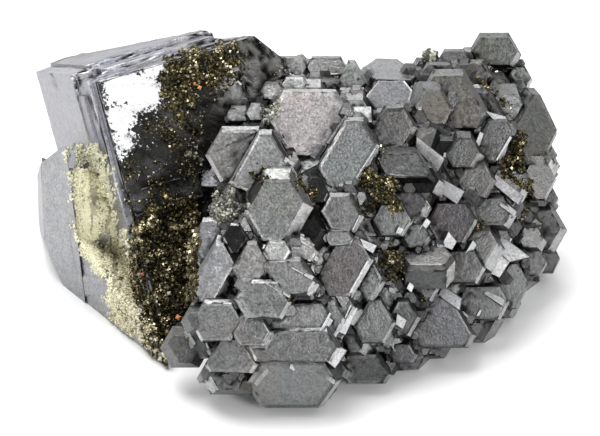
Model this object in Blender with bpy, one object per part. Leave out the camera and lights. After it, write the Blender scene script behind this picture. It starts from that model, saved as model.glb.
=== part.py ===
"""A galena specimen: a cleaved cubic block, grown together with a swarm of parallel octahedral crystals.

Sizes are in millimetres and are turned into metres where objects are made. The specimen is laid out on
its display side: across, up and out are measured from a point inside it, on a plane that is tipped back
by DISPLAY_TILT, and positions are given as they look from DISPLAY_DISTANCE in front of that plane.
"""

import math
import random

import bmesh
import bpy
from mathutils import Matrix, Vector

MM = 0.001
SEED = 11
CRYSTALS_AT_ONCE = 12  # how many crystals one Boolean joins to the cluster
GAP = 0.3  # between one mineral and the next

# The display side
DISPLAY_TILT = math.radians(35.0)
DISPLAY_DISTANCE = 900.0
DISPLAY_CENTRE_HEIGHT = 23.6

# The cleaved block: its front top left corner, across, up and out, and its three edge directions
BLOCK_CORNER = (-41.8, 27.6, 7.2)
BLOCK_BACK = (-52.7, 9.2, -183.0)
BLOCK_RIGHT = (138.0, 42.0, -37.6)

# Cleavage layers of the block, each from and to, backwards, to the right and down from that corner
BLOCK_LAYERS = [
    ((0.9, 68.0), (0.9, 40.0), (0.8, 75.0)),
    ((0.0, 9.0), (1.1, 30.0), (1.0, 23.9)),
    ((0.45, 8.0), (1.5, 16.0), (20.0, 28.7)),
    ((3.6, 66.0), (0.0, 8.4), (0.4, 73.0)),
    ((8.6, 34.0), (-0.5, 7.0), (3.4, 24.4)),
    ((13.5, 65.0), (-0.8, 9.5), (-1.1, 19.0)),
    ((17.5, 64.0), (3.4, 34.0), (-1.7, 18.0)),
    ((5.2, 63.0), (2.4, 31.0), (0.3, 17.0)),
    ((9.4, 62.0), (4.6, 29.0), (-0.75, 16.0)),
]
# Planes that end the block: their back, right and down parts, and how far each lies from the corner
BLOCK_CUTS = [
    (0.73, -0.68, 0.0, 33.4),
    (0.55, 0.84, 0.0, 35.5),
    (0.10, 0.60, -0.80, 20.8),
    (0.0, 0.80, -0.60, 27.5),
]

# The foot of the block, a smooth slab behind and a ramp in front of it, as planes through base points
SLAB_BASE = ((-36.4, -6.1, 0.0), (-49.0, 10.3, 0.0))
SLAB_LEFT = (-52.4, 14.5, 20.0)
SLAB_HEEL = (-48.4, 9.4, 0.0)
SLAB_TOP = (-52.2, 14.5, 27.1)
SLAB_RIGHT = (-46.8, 7.4, 36.5)
FOOT_TOP = (-45.0, 5.1, 14.7)
SLAB_BACK = 33.0
RAMP_BASE = ((-26.2, -16.2, 0.0), (-36.4, -6.1, 0.0))
RAMP_TOP = (-46.0, 27.3, 21.0)

# The lumps that the crystals grow on: middle across, up and out, half sizes, and how far each millimetre
# across takes the middle line up and out
LUMPS = {
    "barrel": ((14.6, -5.0, -3.4), (34.7, 28.0, 20.0), 0.30, -0.45),
    "ridge": ((8.0, 12.5, -13.0), (30.0, 16.5, 15.0), 0.06, -0.10),
    "shoulder": ((34.6, 16.0, -15.0), (11.8, 13.4, 12.0), 0.0, -0.3),
}
LUMP_POWER = 2.6
CORE_INSET = 2.6

# The angles between an octahedron face and the cube and octahedron faces around it
CUBE_ANGLE = math.acos(1 / math.sqrt(3))
OCTAHEDRON_ANGLE = math.acos(1 / 3)
EDGE_BEARINGS = [math.radians(30 + 60 * k) for k in range(6)]
FOLLOW = 0.16  # how far a crystal's face turns with the surface that it grows on

# Crystals that show on the display side: across, up, how far each stands out of its lump, its turn to
# the right and up in degrees, the distances of the six edges of its front face from the middle of that
# face, from the upper right edge anticlockwise, and the depth of its girdle.
DISPLAY_CRYSTALS = {
    "bright_hexagon": (1.0, 19.2, 1.5, 3, 8, (8.3, 6.0, 6.7, 5.9, 6.6, 6.1), 3.0),
    "left_upper_plate": (-12.0, 12.6, 1.0, -6, 3, (5.7, 5.0, 5.7, 5.3, 4.9, 5.9), 3.5),
    "left_lower_plate": (-5.0, 2.0, 1.8, -3, 0, (5.3, 5.6, 4.8, 5.2, 6.4, 4.2), 3.5),
    "tall_plate": (9.6, 12.8, 0.8, 0, 2, (5.9, 6.5, 3.8, 6.4, 6.6, 3.9), 3.5),
    "brown_hexagon": (31.6, 23.6, 2.0, -3, 4, (3.3, 4.8, 6.6, 3.2, 5.6, 5.7), 5.0),
    "lavender_slab": (18.0, 24.6, 0.6, 0, 42, (4.5, 4.0, 4.0, 4.5, 4.0, 4.5), 2.5),
    "middle_upper_plate": (18.8, 17.6, 1.5, 0, 0, (3.8, 4.3, 3.4, 4.2, 4.0, 3.0), 4.0),
    "middle_lower_plate": (20.4, 10.6, 1.4, 0, 10, (3.9, 2.6, 4.8, 3.6, 2.5, 5.6), 3.0),
    "dark_slope": (26.4, 22.2, 0.4, 16, 0, (3.6, 3.6, 3.2, 3.0, 3.4, 4.0), 3.0),
    "upper_left_corner": (-19.2, 17.6, 0.4, -18, 0, (2.8, 3.0, 1.8, 3.3, 3.2, 2.4), 3.0),
    "left_light_plate": (-18.6, 9.0, 0.6, -14, 0, (3.0, 2.8, 3.2, 3.2, 2.6, 3.4), 3.0),
    "left_bright_bit": (-21.2, 6.4, 0.2, -18, 0, (1.8, 1.8, 1.8, 1.8, 1.8, 1.8), 2.5),
    "left_bit_upper": (-20.4, 2.2, 0.0, -18, 0, (1.7, 1.5, 1.7, 1.7, 1.4, 1.7), 2.5),
    "left_bit_lower": (-20.2, -0.3, 0.2, -18, -4, (1.9, 1.8, 1.9, 1.9, 1.6, 1.9), 2.5),
    "left_lavender_plate": (-18.2, -4.4, 0.5, -13, -2, (3.0, 3.6, 3.0, 3.0, 3.6, 2.8), 3.0),
    "left_narrow_bit": (-13.2, -4.0, 0.8, -5, 0, (2.0, 2.4, 1.8, 1.6, 2.8, 1.8), 2.5),
    "left_long_plate": (-17.6, -11.4, 1.2, -10, -3, (5.0, 6.0, 2.4, 4.9, 5.2, 2.8), 4.0),
    "pale_rough_plate": (-9.6, -9.4, 0.4, -3, 0, (2.8, 4.0, 2.8, 3.0, 3.8, 2.6), 3.0),
    "low_left_dark_plate": (-7.4, -16.4, 2.0, -2, 0, (4.0, 3.2, 4.6, 4.0, 3.4, 4.3), 3.0),
    "low_left_stacked_plate": (-2.4, -11.8, 2.4, 0, 2, (3.8, 3.0, 5.0, 2.6, 3.2, 4.6), 3.0),
    "broken_bit_left": (-4.6, -6.6, 1.4, 2, 6, (2.2, 1.8, 2.2, 2.2, 1.8, 2.2), 2.0),
    "broken_bit_right": (0.2, -6.4, 1.4, 4, 6, (2.4, 1.8, 2.2, 2.2, 1.8, 2.4), 2.0),
    "olive_hexagon": (8.2, 0.8, 0.5, 0, 0, (3.3, 3.4, 3.6, 3.1, 3.4, 3.5), 3.0),
    "olive_lower_bit": (7.8, -4.0, 0.5, 0, 4, (2.4, 1.4, 2.4, 2.2, 1.4, 2.4), 2.0),
    "dark_rough_plate": (8.8, -10.0, 0.7, 0, 0, (5.4, 5.7, 3.6, 5.2, 5.5, 3.5), 3.5),
    "middle_grey_plate": (18.2, -0.4, 0.9, 2, 0, (3.4, 2.9, 3.0, 3.0, 3.0, 3.2), 3.0),
    "middle_low_plate": (14.0, -12.8, 0.3, 2, -2, (2.4, 3.6, 2.0, 2.4, 3.6, 2.0), 3.0),
    "right_low_dark_plate": (25.4, -12.4, 0.4, 4, -2, (2.8, 4.0, 2.4, 2.2, 4.0, 2.4), 3.0),
    "lens_plate": (25.2, -7.4, 1.2, 0, 48, (4.4, 3.0, 4.4, 4.4, 3.0, 4.4), 1.8),
    "low_right_smooth_plate": (28.8, -21.2, 2.2, 2, -8, (3.7, 5.3, 5.0, 6.3, 4.5, 5.8), 4.0),
    "bottom_right_plate": (13.0, -30.4, 2.2, 0, -16, (3.5, 3.2, 4.4, 4.0, 2.8, 4.4), 3.0),
    "bottom_right_bit": (20.4, -27.2, 1.8, 0, -10, (2.2, 1.9, 2.2, 2.2, 1.6, 2.2), 2.5),
    "bottom_hexagon": (-1.6, -32.6, 3.2, 0, -30, (7.6, 5.6, 7.4, 7.6, 6.2, 7.6), 3.6),
    "bottom_upper_plate": (0.0, -20.0, 1.4, 0, 6, (5.0, 2.8, 4.6, 5.4, 2.8, 5.0), 3.0),
    "bottom_wide_plate": (-2.0, -25.6, 2.6, 0, -10, (7.7, 2.9, 7.2, 7.3, 3.0, 8.0), 3.0),
    "bottom_pale_rough_plate": (-9.6, -22.8, 1.2, -4, -4, (3.0, 3.0, 3.0, 3.0, 2.6, 3.0), 3.0),
    "bottom_left_plate": (-14.0, -28.0, 1.6, -8, -12, (3.8, 3.6, 3.2, 4.6, 2.8, 4.6), 3.5),
    "left_low_plate": (-16.4, -20.6, 1.2, -10, -4, (4.0, 3.4, 4.2, 4.4, 3.8, 3.8), 3.5),
    "bright_deep_face": (35.6, -5.6, 1.8, 4, 2, (3.6, 3.0, 3.5, 3.6, 4.0, 3.0), 6.0),
    "long_light_plate": (41.0, 6.0, 2.2, 6, 0, (3.4, 3.6, 3.0, 4.4, 3.6, 3.0), 3.0),
    "small_dark_plate": (32.8, 13.2, 1.2, 2, 0, (2.6, 2.8, 2.6, 3.4, 3.0, 2.8), 4.0),
    "dark_plate": (39.0, 15.2, 1.6, 3, 0, (3.9, 3.9, 3.2, 4.4, 4.2, 2.4), 4.0),
    "top_knob": (38.8, 33.4, 0.0, 0, 0, (4.0, 2.7, 3.8, 3.8, 2.8, 4.2), 2.6),
    "calcite_seat": (26.0, 30.0, 0.6, 0, 4, (2.6, 1.4, 2.6, 2.6, 1.8, 2.6), 3.0),
    "top_knob_lower": (35.4, 28.8, 1.0, 0, 0, (2.3, 2.2, 2.3, 2.4, 2.2, 2.4), 3.0),
    "top_left_slab": (30.6, 31.2, 0.0, 0, 10, (3.0, 2.2, 2.6, 3.0, 2.0, 2.6), 3.0),
    "top_low_slab": (28.4, 28.6, 0.4, 0, 6, (3.6, 2.0, 3.6, 3.6, 2.0, 3.6), 3.0),
    "right_top_bit": (44.0, 28.0, 0.0, 10, 0, (2.0, 2.2, 2.2, 2.0, 2.2, 2.0), 3.0),
    "tall_right_crystal": (46.9, 17.4, 0.6, 30, 4, (5.0, 7.4, 4.0, 5.0, 6.8, 4.4), 4.0),
    "right_dark_plate": (47.6, 8.0, 0.4, 16, 0, (3.2, 4.4, 2.8, 3.0, 4.2, 3.2), 3.5),
    "right_edge_plate": (49.6, 4.0, 0.0, 22, 0, (2.0, 3.2, 2.2, 2.2, 3.2, 2.0), 3.5),
    "right_small_hexagon": (46.2, -4.0, 0.8, 14, 0, (2.2, 2.0, 2.2, 2.2, 1.9, 2.2), 4.5),
    "right_low_bit": (46.8, -9.2, 0.2, 20, -4, (2.4, 2.6, 2.6, 2.4, 2.4, 2.2), 3.5),
    "bright_quad_plate": (25.0, 7.6, 1.4, 2, 0, (2.4, 2.4, 2.4, 2.4, 2.4, 2.4), 5.5),
    "dark_rough_middle": (30.0, -0.8, 0.2, 2, 0, (4.6, 3.6, 4.0, 4.0, 4.0, 4.0), 3.0),
    "grey_right_plate": (35.0, 7.2, 1.0, 3, 0, (3.5, 3.5, 3.0, 3.0, 3.0, 3.0), 3.5),
    "grey_right_low_plate": (37.6, 1.2, 1.2, 4, 0, (4.0, 2.6, 3.6, 3.6, 2.6, 4.0), 3.5),
    "small_grey_plate": (32.4, -9.8, 1.2, 3, 0, (3.6, 3.0, 3.4, 3.4, 3.0, 3.6), 3.0),
    "low_right_plate": (36.4, -17.2, 1.6, 6, -4, (4.8, 3.4, 4.4, 5.0, 3.0, 4.2), 3.5),
    "low_right_edge_plate": (42.8, -13.6, 0.6, 22, -4, (3.0, 4.4, 3.0, 3.0, 4.4, 2.6), 3.5),
    "middle_bit": (23.2, -3.6, 1.0, 2, 0, (2.2, 2.2, 2.2, 2.2, 2.2, 2.2), 3.0),
    "low_quad_plate": (6.2, -20.4, 2.0, 0, 0, (2.2, 3.0, 2.0, 2.0, 3.0, 1.8), 3.0),
    "low_dark_plate": (14.4, -20.8, 0.9, 2, -4, (3.6, 4.2, 2.6, 3.6, 4.0, 3.6), 3.5),
    "low_middle_bit": (20.6, -20.0, 0.6, 2, -4, (2.6, 3.2, 2.4, 2.4, 3.4, 2.4), 3.0),
    "small_upper_light": (-1.2, 26.6, 0.8, 0, 14, (2.4, 1.6, 2.2, 2.2, 1.4, 2.2), 3.0),
    "small_upper_left": (-5.8, 25.2, 1.2, -4, 8, (2.0, 1.6, 1.8, 1.8, 1.4, 1.8), 3.0),
    "small_left_light": (-12.4, 20.6, 1.2, -6, 10, (2.0, 1.4, 2.0, 2.0, 1.2, 2.0), 3.0),
    "small_left_dark": (-9.0, 21.0, 1.4, -4, 10, (1.6, 1.5, 1.5, 1.5, 1.4, 1.6), 3.0),
    "long_under_plate": (-7.0, 7.5, -0.6, -4, 2, (5.6, 9.0, 5.6, 5.4, 7.6, 5.4), 3.5),
    "small_bright_bit": (-2.2, 11.2, -0.6, 0, 0, (1.2, 1.5, 1.2, 1.2, 1.5, 1.2), 3.0),
    "rear_left_lump": (-4.0, 30.2, 0.2, 0, 10, (4.6, 1.8, 3.4, 4.0, 2.2, 4.6), 3.0),
    "rear_middle_lump": (5.2, 30.4, 0.2, 0, 12, (3.4, 1.6, 3.2, 3.4, 1.8, 3.6), 3.0),
    "rear_low_lump": (-12.0, 26.0, 0.4, -8, 8, (3.0, 2.0, 3.0, 3.2, 2.0, 3.0), 3.0),
    "right_far_bit": (49.8, -8.0, 0.0, 26, 0, (2.2, 2.6, 2.2, 2.2, 2.8, 2.2), 3.0),
}

SLANT = 1.1  # how deep the sloping sides of a named crystal run, and those of some that show more of them
SLANTS = {
    "left_lower_plate": 3.0, "brown_hexagon": 2.4, "middle_lower_plate": 2.2, "dark_slope": 2.2,
    "left_long_plate": 2.4, "low_left_stacked_plate": 2.0, "bottom_hexagon": 1.8, "bottom_wide_plate": 1.6,
    "bright_deep_face": 3.4, "long_light_plate": 2.6, "bright_quad_plate": 3.4, "small_dark_plate": 2.0,
    "low_right_smooth_plate": 1.8, "grey_right_low_plate": 2.2, "right_small_hexagon": 2.6, "top_knob": 1.6,
    "long_under_plate": 1.6, "tall_right_crystal": 2.4,
}

# Crystals of the same kind that fill in between those and cover the sides and the back
FILL_SPACING = 5.0
FILL_EDGE = (1.8, 3.6)
FILL_LIFT = (-1.5, 0.0)
REST_SPACING = 10.3
REST_EDGE = (3.8, 6.6)
REST_LIFT = (-0.8, 0.6)

# Druses and crusts of other minerals, as outlines on the display side, and their thickness
UPPER_DRUSE = [
    (-28.0, 30.6), (-25.0, 33.2), (-20.0, 34.0), (-15.0, 35.2), (-12.0, 34.6), (-6.6, 33.6), (-4.4, 31.0),
    (-9.0, 27.0), (-16.0, 24.8), (-20.0, 26.0), (-22.6, 23.0), (-24.2, 19.0), (-26.4, 22.0), (-27.6, 25.4),
]
LOWER_DRUSE = [
    (-33.4, -2.8), (-29.6, 1.2), (-27.0, 4.6), (-21.0, 4.0), (-20.0, -8.4), (-21.4, -16.0), (-24.4, -28.2),
    (-29.0, -27.6), (-32.0, -24.0), (-33.6, -16.4), (-34.4, -8.8),
]
PALE_CRUST = [
    (-46.4, 16.6), (-41.0, 15.0), (-39.0, 13.6), (-37.8, 10.6), (-36.8, 0.6), (-35.8, -4.4), (-34.4, -8.4),
    (-30.6, -16.4), (-28.6, -26.2), (-34.0, -23.4), (-37.0, -21.4), (-38.6, -16.4), (-39.4, -11.4),
    (-43.0, -7.4), (-44.4, -4.4), (-44.8, 0.6), (-45.2, 5.6), (-46.0, 10.6),
]
DRUSE_THICKNESS = 0.7
DRUSE_GRAIN = (0.8, 1.5)
DRUSE_CLEARANCE = 2.0
CRUST_THICKNESS = 0.5

# Pockets between the crystals: outline, how deep the floor lies under the lump, and the mineral in it
POCKETS = {
    "druse_pocket_centre": (
        [
            (13.0, 9.6), (15.0, 10.4), (19.0, 8.2), (21.0, 8.0), (20.8, 5.0),
            (19.4, 2.8), (15.6, 2.8), (12.4, 2.0), (11.6, 5.0),
        ],
        0.4,
        "chalcopyrite",
    ),
    "druse_pocket_low": (
        [(16.0, -6.6), (19.6, -6.4), (20.6, -8.8), (19.6, -12.0), (16.8, -12.4), (15.6, -10.0)],
        0.6,
        "chalcopyrite",
    ),
    "druse_pocket_right": (
        [(42.4, 17.4), (44.2, 18.0), (45.8, 14.0), (45.4, 9.6), (44.0, 7.4), (41.8, 9.2), (40.6, 11.0)],
        0.6,
        "chalcopyrite",
    ),
    "druse_pocket_left": (
        [
            (-18.4, 5.4), (-14.2, 6.4), (-11.0, 5.2), (-10.8, 2.6),
            (-12.0, -0.6), (-14.8, -0.8), (-17.4, 0.8), (-18.8, 3.0),
        ],
        0.2,
        "calcite",
    ),
}
CALCITE_GRAIN = (26.0, 32.3, 1.6)  # across and up, and its radius

MINERALS = {
    "galena": ((0.30, 0.30, 0.315, 1.0), 0.38, 1.0),
    "chalcopyrite": ((0.52, 0.43, 0.20, 1.0), 0.35, 1.0),
    "calcite": ((0.80, 0.78, 0.66, 1.0), 0.5, 0.0),
    "pale_crust": ((0.70, 0.66, 0.45, 1.0), 0.8, 0.0),
}


def display_frame():
    """The rotation that turns across, up and out into the specimen's own X, Y and Z."""
    sine, cosine = math.sin(DISPLAY_TILT), math.cos(DISPLAY_TILT)
    return Matrix(((1, 0, 0), (0, sine, -cosine), (0, cosine, sine)))


FRAME = display_frame()


def turned(direction):
    return (FRAME @ Vector(direction)).normalized()


def placed(across, up, out):
    """A point of the display side in the specimen's own frame."""
    nearer = 1 - out / DISPLAY_DISTANCE
    return FRAME @ Vector((across * nearer, up * nearer, out)) + Vector((0, 0, DISPLAY_CENTRE_HEIGHT))


def collection(name):
    made = bpy.data.collections.new(name)
    bpy.context.scene.collection.children.link(made)
    return made


def mineral(name, kind):
    """A material of its own for one object."""
    colour, roughness, metallic = MINERALS[kind]
    made = bpy.data.materials.new(name)
    made.use_nodes = True
    surface = made.node_tree.nodes["Principled BSDF"]
    surface.inputs["Base Color"].default_value = colour
    surface.inputs["Roughness"].default_value = roughness
    surface.inputs["Metallic"].default_value = metallic
    return made


def add_object(name, shape, where):
    """Turns a mesh in millimetres into an object in metres."""
    bmesh.ops.scale(shape, vec=(MM, MM, MM), verts=shape.verts)
    bmesh.ops.recalc_face_normals(shape, faces=shape.faces)
    data = bpy.data.meshes.new(name)
    shape.to_mesh(data)
    shape.free()
    made = bpy.data.objects.new(name, data)
    where.objects.link(made)
    return made


def combine(base, operation, other, with_itself=False):
    """Applies one Boolean to base and removes the other object."""
    step = base.modifiers.new(operation.lower(), "BOOLEAN")
    step.operation = operation
    step.solver = "EXACT"
    step.use_self = with_itself
    step.object = other
    bpy.context.view_layer.update()
    result = bpy.data.meshes.new_from_object(base.evaluated_get(bpy.context.evaluated_depsgraph_get()))
    base.modifiers.clear()
    base.data = result
    bpy.data.objects.remove(other)


def trim(shape, point, normal):
    """Cuts away what lies outside a plane and closes the cut."""
    everything = shape.verts[:] + shape.edges[:] + shape.faces[:]
    bmesh.ops.bisect_plane(
        shape, geom=everything, dist=1e-5, plane_co=point, plane_no=normal, clear_outer=True
    )
    bmesh.ops.holes_fill(shape, edges=[edge for edge in shape.edges if edge.is_boundary])


def trimmed_cube(planes, grow=0.0, stock=240.0, middle=(0, 0, 0)):
    """A convex body, left of a cube after a cut along each plane, with every plane moved out by grow."""
    shape = bmesh.new()
    bmesh.ops.create_cube(shape, size=stock, matrix=Matrix.Translation(middle))
    for point, normal in planes:
        normal = Vector(normal).normalized()
        trim(shape, Vector(point) + normal * grow, normal)
    return shape


def crystal(centre, normal, edges, girdle, slant=None):
    """A flattened octahedral crystal: a front face, six sloping sides, and a mirrored or an upright rest.

    The slopes run down to the girdle. A slant ends them that deep, on upright sides.
    """
    normal = normal.normalized()
    right = FRAME @ Vector((1, 0, 0))
    right = (right - normal * right.dot(normal)).normalized()
    upwards = normal.cross(right)
    planes = [(centre, normal), (centre - normal * 2 * girdle, -normal)]
    for place, bearing in enumerate(EDGE_BEARINGS):
        outward = right * math.cos(bearing) + upwards * math.sin(bearing)
        slope = OCTAHEDRON_ANGLE if place % 2 == 0 else CUBE_ANGLE
        rim = centre + outward * edges[place]
        front = normal * math.cos(slope) + outward * math.sin(slope)
        back = -normal * math.cos(slope) + outward * math.sin(slope)
        planes.append((rim, front))
        if slant is None:
            planes.append((rim - normal * 2 * girdle, back))
        else:
            planes.append((rim + outward * slant / math.tan(slope), outward))
    return trimmed_cube(planes, stock=60.0, middle=centre)


def lump_point(lump, direction):
    """The point of a lump's skin that lies in one direction from its middle, in display measures."""
    middle, half, rise, retreat = LUMPS[lump]
    power = LUMP_POWER
    reach = sum(abs(direction[k] / half[k]) ** power for k in range(3)) ** (-1 / power)
    step = direction * reach
    return Vector(middle) + step + Vector((0, rise * step[0], retreat * step[0]))


def lump_depth(lump, point):
    """Below one inside a lump, and above one outside it."""
    middle, half, rise, retreat = LUMPS[lump]
    step = Vector(point) - Vector(middle)
    step[1] -= rise * step[0]
    step[2] -= retreat * step[0]
    return sum(abs(step[k] / half[k]) ** LUMP_POWER for k in range(3)) ** (1 / LUMP_POWER)


def lump_normal(lump, point):
    """Which way a lump's skin faces near a point, in display measures."""
    step = 0.05
    here = lump_depth(lump, point)
    slope = Vector()
    for axis in range(3):
        aside = point.copy()
        aside[axis] += step
        slope[axis] = lump_depth(lump, aside) - here
    return slope.normalized()


def front_of_lumps(across, up):
    """How far out the front skin of the lumps lies, or else the middle line of the nearest lump."""
    best = None
    for lump, (middle, half, rise, retreat) in LUMPS.items():
        side = across - middle[0]
        height = up - middle[1] - rise * side
        left = 1 - abs(side / half[0]) ** LUMP_POWER - abs(height / half[1]) ** LUMP_POWER
        out = middle[2] + retreat * side + half[2] * max(left, 0.0) ** (1 / LUMP_POWER)
        if left > 0 and (best is None or out > best[0]):
            best = (out, lump)
    if best:
        return best
    nearest = min(LUMPS, key=lambda lump: lump_depth(lump, (across, up, LUMPS[lump][0][2])))
    middle, half, rise, retreat = LUMPS[nearest]
    return middle[2] + retreat * (across - middle[0]), nearest


def lump_core(lump, where):
    """The body of a lump, a little under its crystals."""
    middle, half, rise, retreat = LUMPS[lump]
    shape = bmesh.new()
    bmesh.ops.create_icosphere(shape, subdivisions=3, radius=1.0)
    for vertex in shape.verts:
        skin = lump_point(lump, vertex.co.normalized())
        inward = Vector(middle) - skin
        skin += inward.normalized() * CORE_INSET
        vertex.co = placed(*skin)
    return add_object(f"{lump}_core", shape, where)


def face_out(name):
    """How far out a named crystal's face lies, and how far that is above its own place on the lump.

    A face that the lump's core would come through is raised until it is clear of it.
    """
    across, up, stands, right, tilt, edges, _ = DISPLAY_CRYSTALS[name]
    own = front_of_lumps(across, up)[0] + stands
    out = own
    for bearing, edge in zip(EDGE_BEARINGS, edges):
        aside, above = 0.9 * edge * math.cos(bearing), 0.9 * edge * math.sin(bearing)
        core = front_of_lumps(across + aside, up + above)[0] - CORE_INSET
        fall = math.tan(math.radians(right)) * aside + math.tan(math.radians(tilt)) * above
        out = max(out, core + 0.4 + fall)
    return out, out - own


def display_crystals():
    for name, (across, up, stands, right, tilt, edges, girdle) in DISPLAY_CRYSTALS.items():
        out, raised = face_out(name)
        facing = Matrix.Rotation(math.radians(right), 3, "Y") @ Matrix.Rotation(math.radians(-tilt), 3, "X")
        normal = FRAME @ (facing @ Vector((0, 0, 1)))
        depth = max(girdle, 2.6) + raised / 2
        yield placed(across, up, out), normal, edges, depth, SLANTS.get(name, SLANT)


def room_below(across, up, size):
    """How far out a filling crystal may stand at a place of the display side, or None under a named one."""
    highest = 99.0
    for name, (there, height, _, right, tilt, edges, _) in DISPLAY_CRYSTALS.items():
        apart = math.hypot(across - there, up - height)
        mean = sum(edges) / 6
        if apart < 0.9 * mean:
            return None
        if apart < 1.1 * mean + size:
            face = face_out(name)[0]
            face -= math.tan(math.radians(right)) * (across - there)
            face -= math.tan(math.radians(tilt)) * (up - height)
            highest = min(highest, face - 1.0)
    return highest


def in_outline(outline, across, up):
    inside = False
    for (x0, y0), (x1, y1) in zip(outline, outline[1:] + outline[:1]):
        if (y0 > up) != (y1 > up) and across < x0 + (up - y0) * (x1 - x0) / (y1 - y0):
            inside = not inside
    return inside


def fill_crystals(dice):
    """Crystals all round the lumps, spread so that no two middles lie close together."""
    kept = []
    for lump in LUMPS:
        for _ in range(1500):
            direction = Vector([dice.gauss(0, 1) for _ in range(3)]).normalized()
            skin = lump_point(lump, direction)
            if any(lump_depth(other, skin) < 0.97 for other in LUMPS if other != lump):
                continue
            outward = lump_normal(lump, skin)
            place = placed(*skin)
            front = outward.z > 0.15
            if place.z < (2.5 if front else -2.0):
                continue
            spacing = FILL_SPACING if front else REST_SPACING
            if any((place - other).length < spacing for other in kept):
                continue
            low, high = FILL_EDGE if front else REST_EDGE
            size = dice.uniform(low, high)
            room = room_below(skin[0], skin[1], size) if front else 99.0
            if room is None or room < skin[2] - CORE_INSET + 0.6:
                continue
            kept.append(place)
            edges = [size * dice.uniform(0.6, 1.4) for _ in range(6)]
            follow = FOLLOW if front else 0.75
            normal = Vector((0, 0, 1)).lerp(outward, follow)
            normal += Vector([dice.gauss(0, 0.11) for _ in range(3)])
            lift = dice.uniform(*(FILL_LIFT if front else REST_LIFT))
            place = placed(skin[0], skin[1], min(skin[2], room))
            yield place + FRAME @ outward * lift, FRAME @ normal, edges, dice.uniform(2.0, 3.6)


def prism(outline, near, far, where, name="outline"):
    """An outline of the display side, drawn out into a bar that runs from near to far."""
    shape = bmesh.new()
    rim = [shape.verts.new(placed(across, up, near)) for across, up in outline]
    face = shape.faces.new(rim)
    drawn = bmesh.ops.extrude_face_region(shape, geom=[face])
    back = [piece for piece in drawn["geom"] if isinstance(piece, bmesh.types.BMVert)]
    bmesh.ops.translate(shape, vec=FRAME @ Vector((0, 0, far - near)), verts=back)
    return add_object(name, shape, where)


def grown_outline(outline, distance):
    """The outline with every edge moved outwards."""
    area = sum(x0 * y1 - x1 * y0 for (x0, y0), (x1, y1) in zip(outline, outline[1:] + outline[:1]))
    sign = 1 if area > 0 else -1
    corners = [Vector(point) for point in outline]
    grown = []
    for before, here, after in zip(corners[-1:] + corners[:-1], corners, corners[1:] + corners[:1]):
        first = (here - before).normalized()
        second = (after - here).normalized()
        out_first = Vector((first.y, -first.x)) * sign
        out_second = Vector((second.y, -second.x)) * sign
        middle = (out_first + out_second).normalized()
        grown.append(tuple(here + middle * distance / max(middle.dot(out_first), 0.5)))
    return grown


def foot_bodies():
    """The slab and the ramp at the foot of the block, each as a list of planes."""
    first, second = Vector(SLAB_BASE[0]), Vector(SLAB_BASE[1])
    outward = (second - first).cross(Vector((0, 0, 1)))
    front = -outward if outward.x > 0 else outward
    yield [
        (first, front),
        (SLAB_LEFT, (-1.0, -0.12, 0.0)),
        (SLAB_HEEL, (-0.92, -0.27, -0.29)),
        (SLAB_TOP, (-0.646, 0.7, 0.9)),
        (SLAB_RIGHT, (0.956, 0.287, 0.05)),
        ((0, SLAB_BACK, 0), (0.0, 1.0, 0.1)),
        ((0, 0, -6.0), (0, 0, -1.0)),
    ]
    yield [
        (first + front.normalized() * -0.3, front),
        ((SLAB_HEEL[0] + 0.5, SLAB_HEEL[1], 0.0), (-0.92, -0.27, -0.29)),
        ((SLAB_LEFT[0] + 0.7, SLAB_LEFT[1], 0.0), (-1.0, -0.1, 0.0)),
        (FOOT_TOP, (0.755, 0.1, 1.0)),
        ((0, SLAB_BACK - 2.0, 0), (0.0, 1.0, 0.1)),
        ((-30.0, 0, 0), (1.0, 0.2, 0.0)),
        ((0, 0, -6.5), (0, 0, -1.0)),
    ]
    first, second, top = Vector(RAMP_BASE[0]), Vector(RAMP_BASE[1]), Vector(RAMP_TOP)
    outward = (second - first).cross(top - first)
    yield [
        (first, outward if outward.z > 0 else -outward),
        (second, (-1.0, 0.35, 0.0)),
        (placed(*BLOCK_CORNER) + turned(BLOCK_BACK) * 1.3, -turned(BLOCK_BACK)),
        ((-20.0, 0, 0), (1.0, 0.1, 0.0)),
        ((0, 21.0, 0), (0.0, 1.0, 0.2)),
        ((0, 0, -7.0), (0, 0, -1.0)),
    ]


def block(name, grow, where):
    """The block and its foot in one body, with every face moved out by grow."""
    corner = placed(*BLOCK_CORNER)
    back, right = turned(BLOCK_BACK), turned(BLOCK_RIGHT)
    axes = (back, right, back.cross(right))
    made = None
    for layer in BLOCK_LAYERS:
        planes = []
        for axis, (low, high) in zip(axes, layer):
            planes.append((corner + axis * low, -axis))
            planes.append((corner + axis * high, axis))
        body = add_object(name, trimmed_cube(planes, grow), where)
        if made is None:
            made = body
        else:
            combine(made, "UNION", body)
    cuts = []
    for *parts, distance in BLOCK_CUTS:
        normal = sum((axis * part for axis, part in zip(axes, parts)), Vector()).normalized()
        cuts.append((corner + normal * distance, normal))
    combine(made, "INTERSECT", add_object("rear_cuts", trimmed_cube(cuts, grow), where))
    for planes in foot_bodies():
        combine(made, "UNION", add_object("foot", trimmed_cube(planes, grow), where))
    return made


def is_closed(target):
    shape = bmesh.new()
    shape.from_mesh(target.data)
    closed = all(len(edge.link_faces) == 2 for edge in shape.edges)
    shape.free()
    return closed


def grow_together(cluster, crystals, where):
    """Joins crystals to the cluster, or leaves it as it was where that would not give a closed body."""
    before = cluster.data.copy()
    swarm = bmesh.new()
    for measures in crystals:
        one = crystal(*measures)
        data = bpy.data.meshes.new("one")
        one.to_mesh(data)
        one.free()
        swarm.from_mesh(data)
        bpy.data.meshes.remove(data)
    combine(cluster, "UNION", add_object("swarm", swarm, where), with_itself=True)
    if is_closed(cluster):
        return True
    cluster.data = before
    return False


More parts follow.
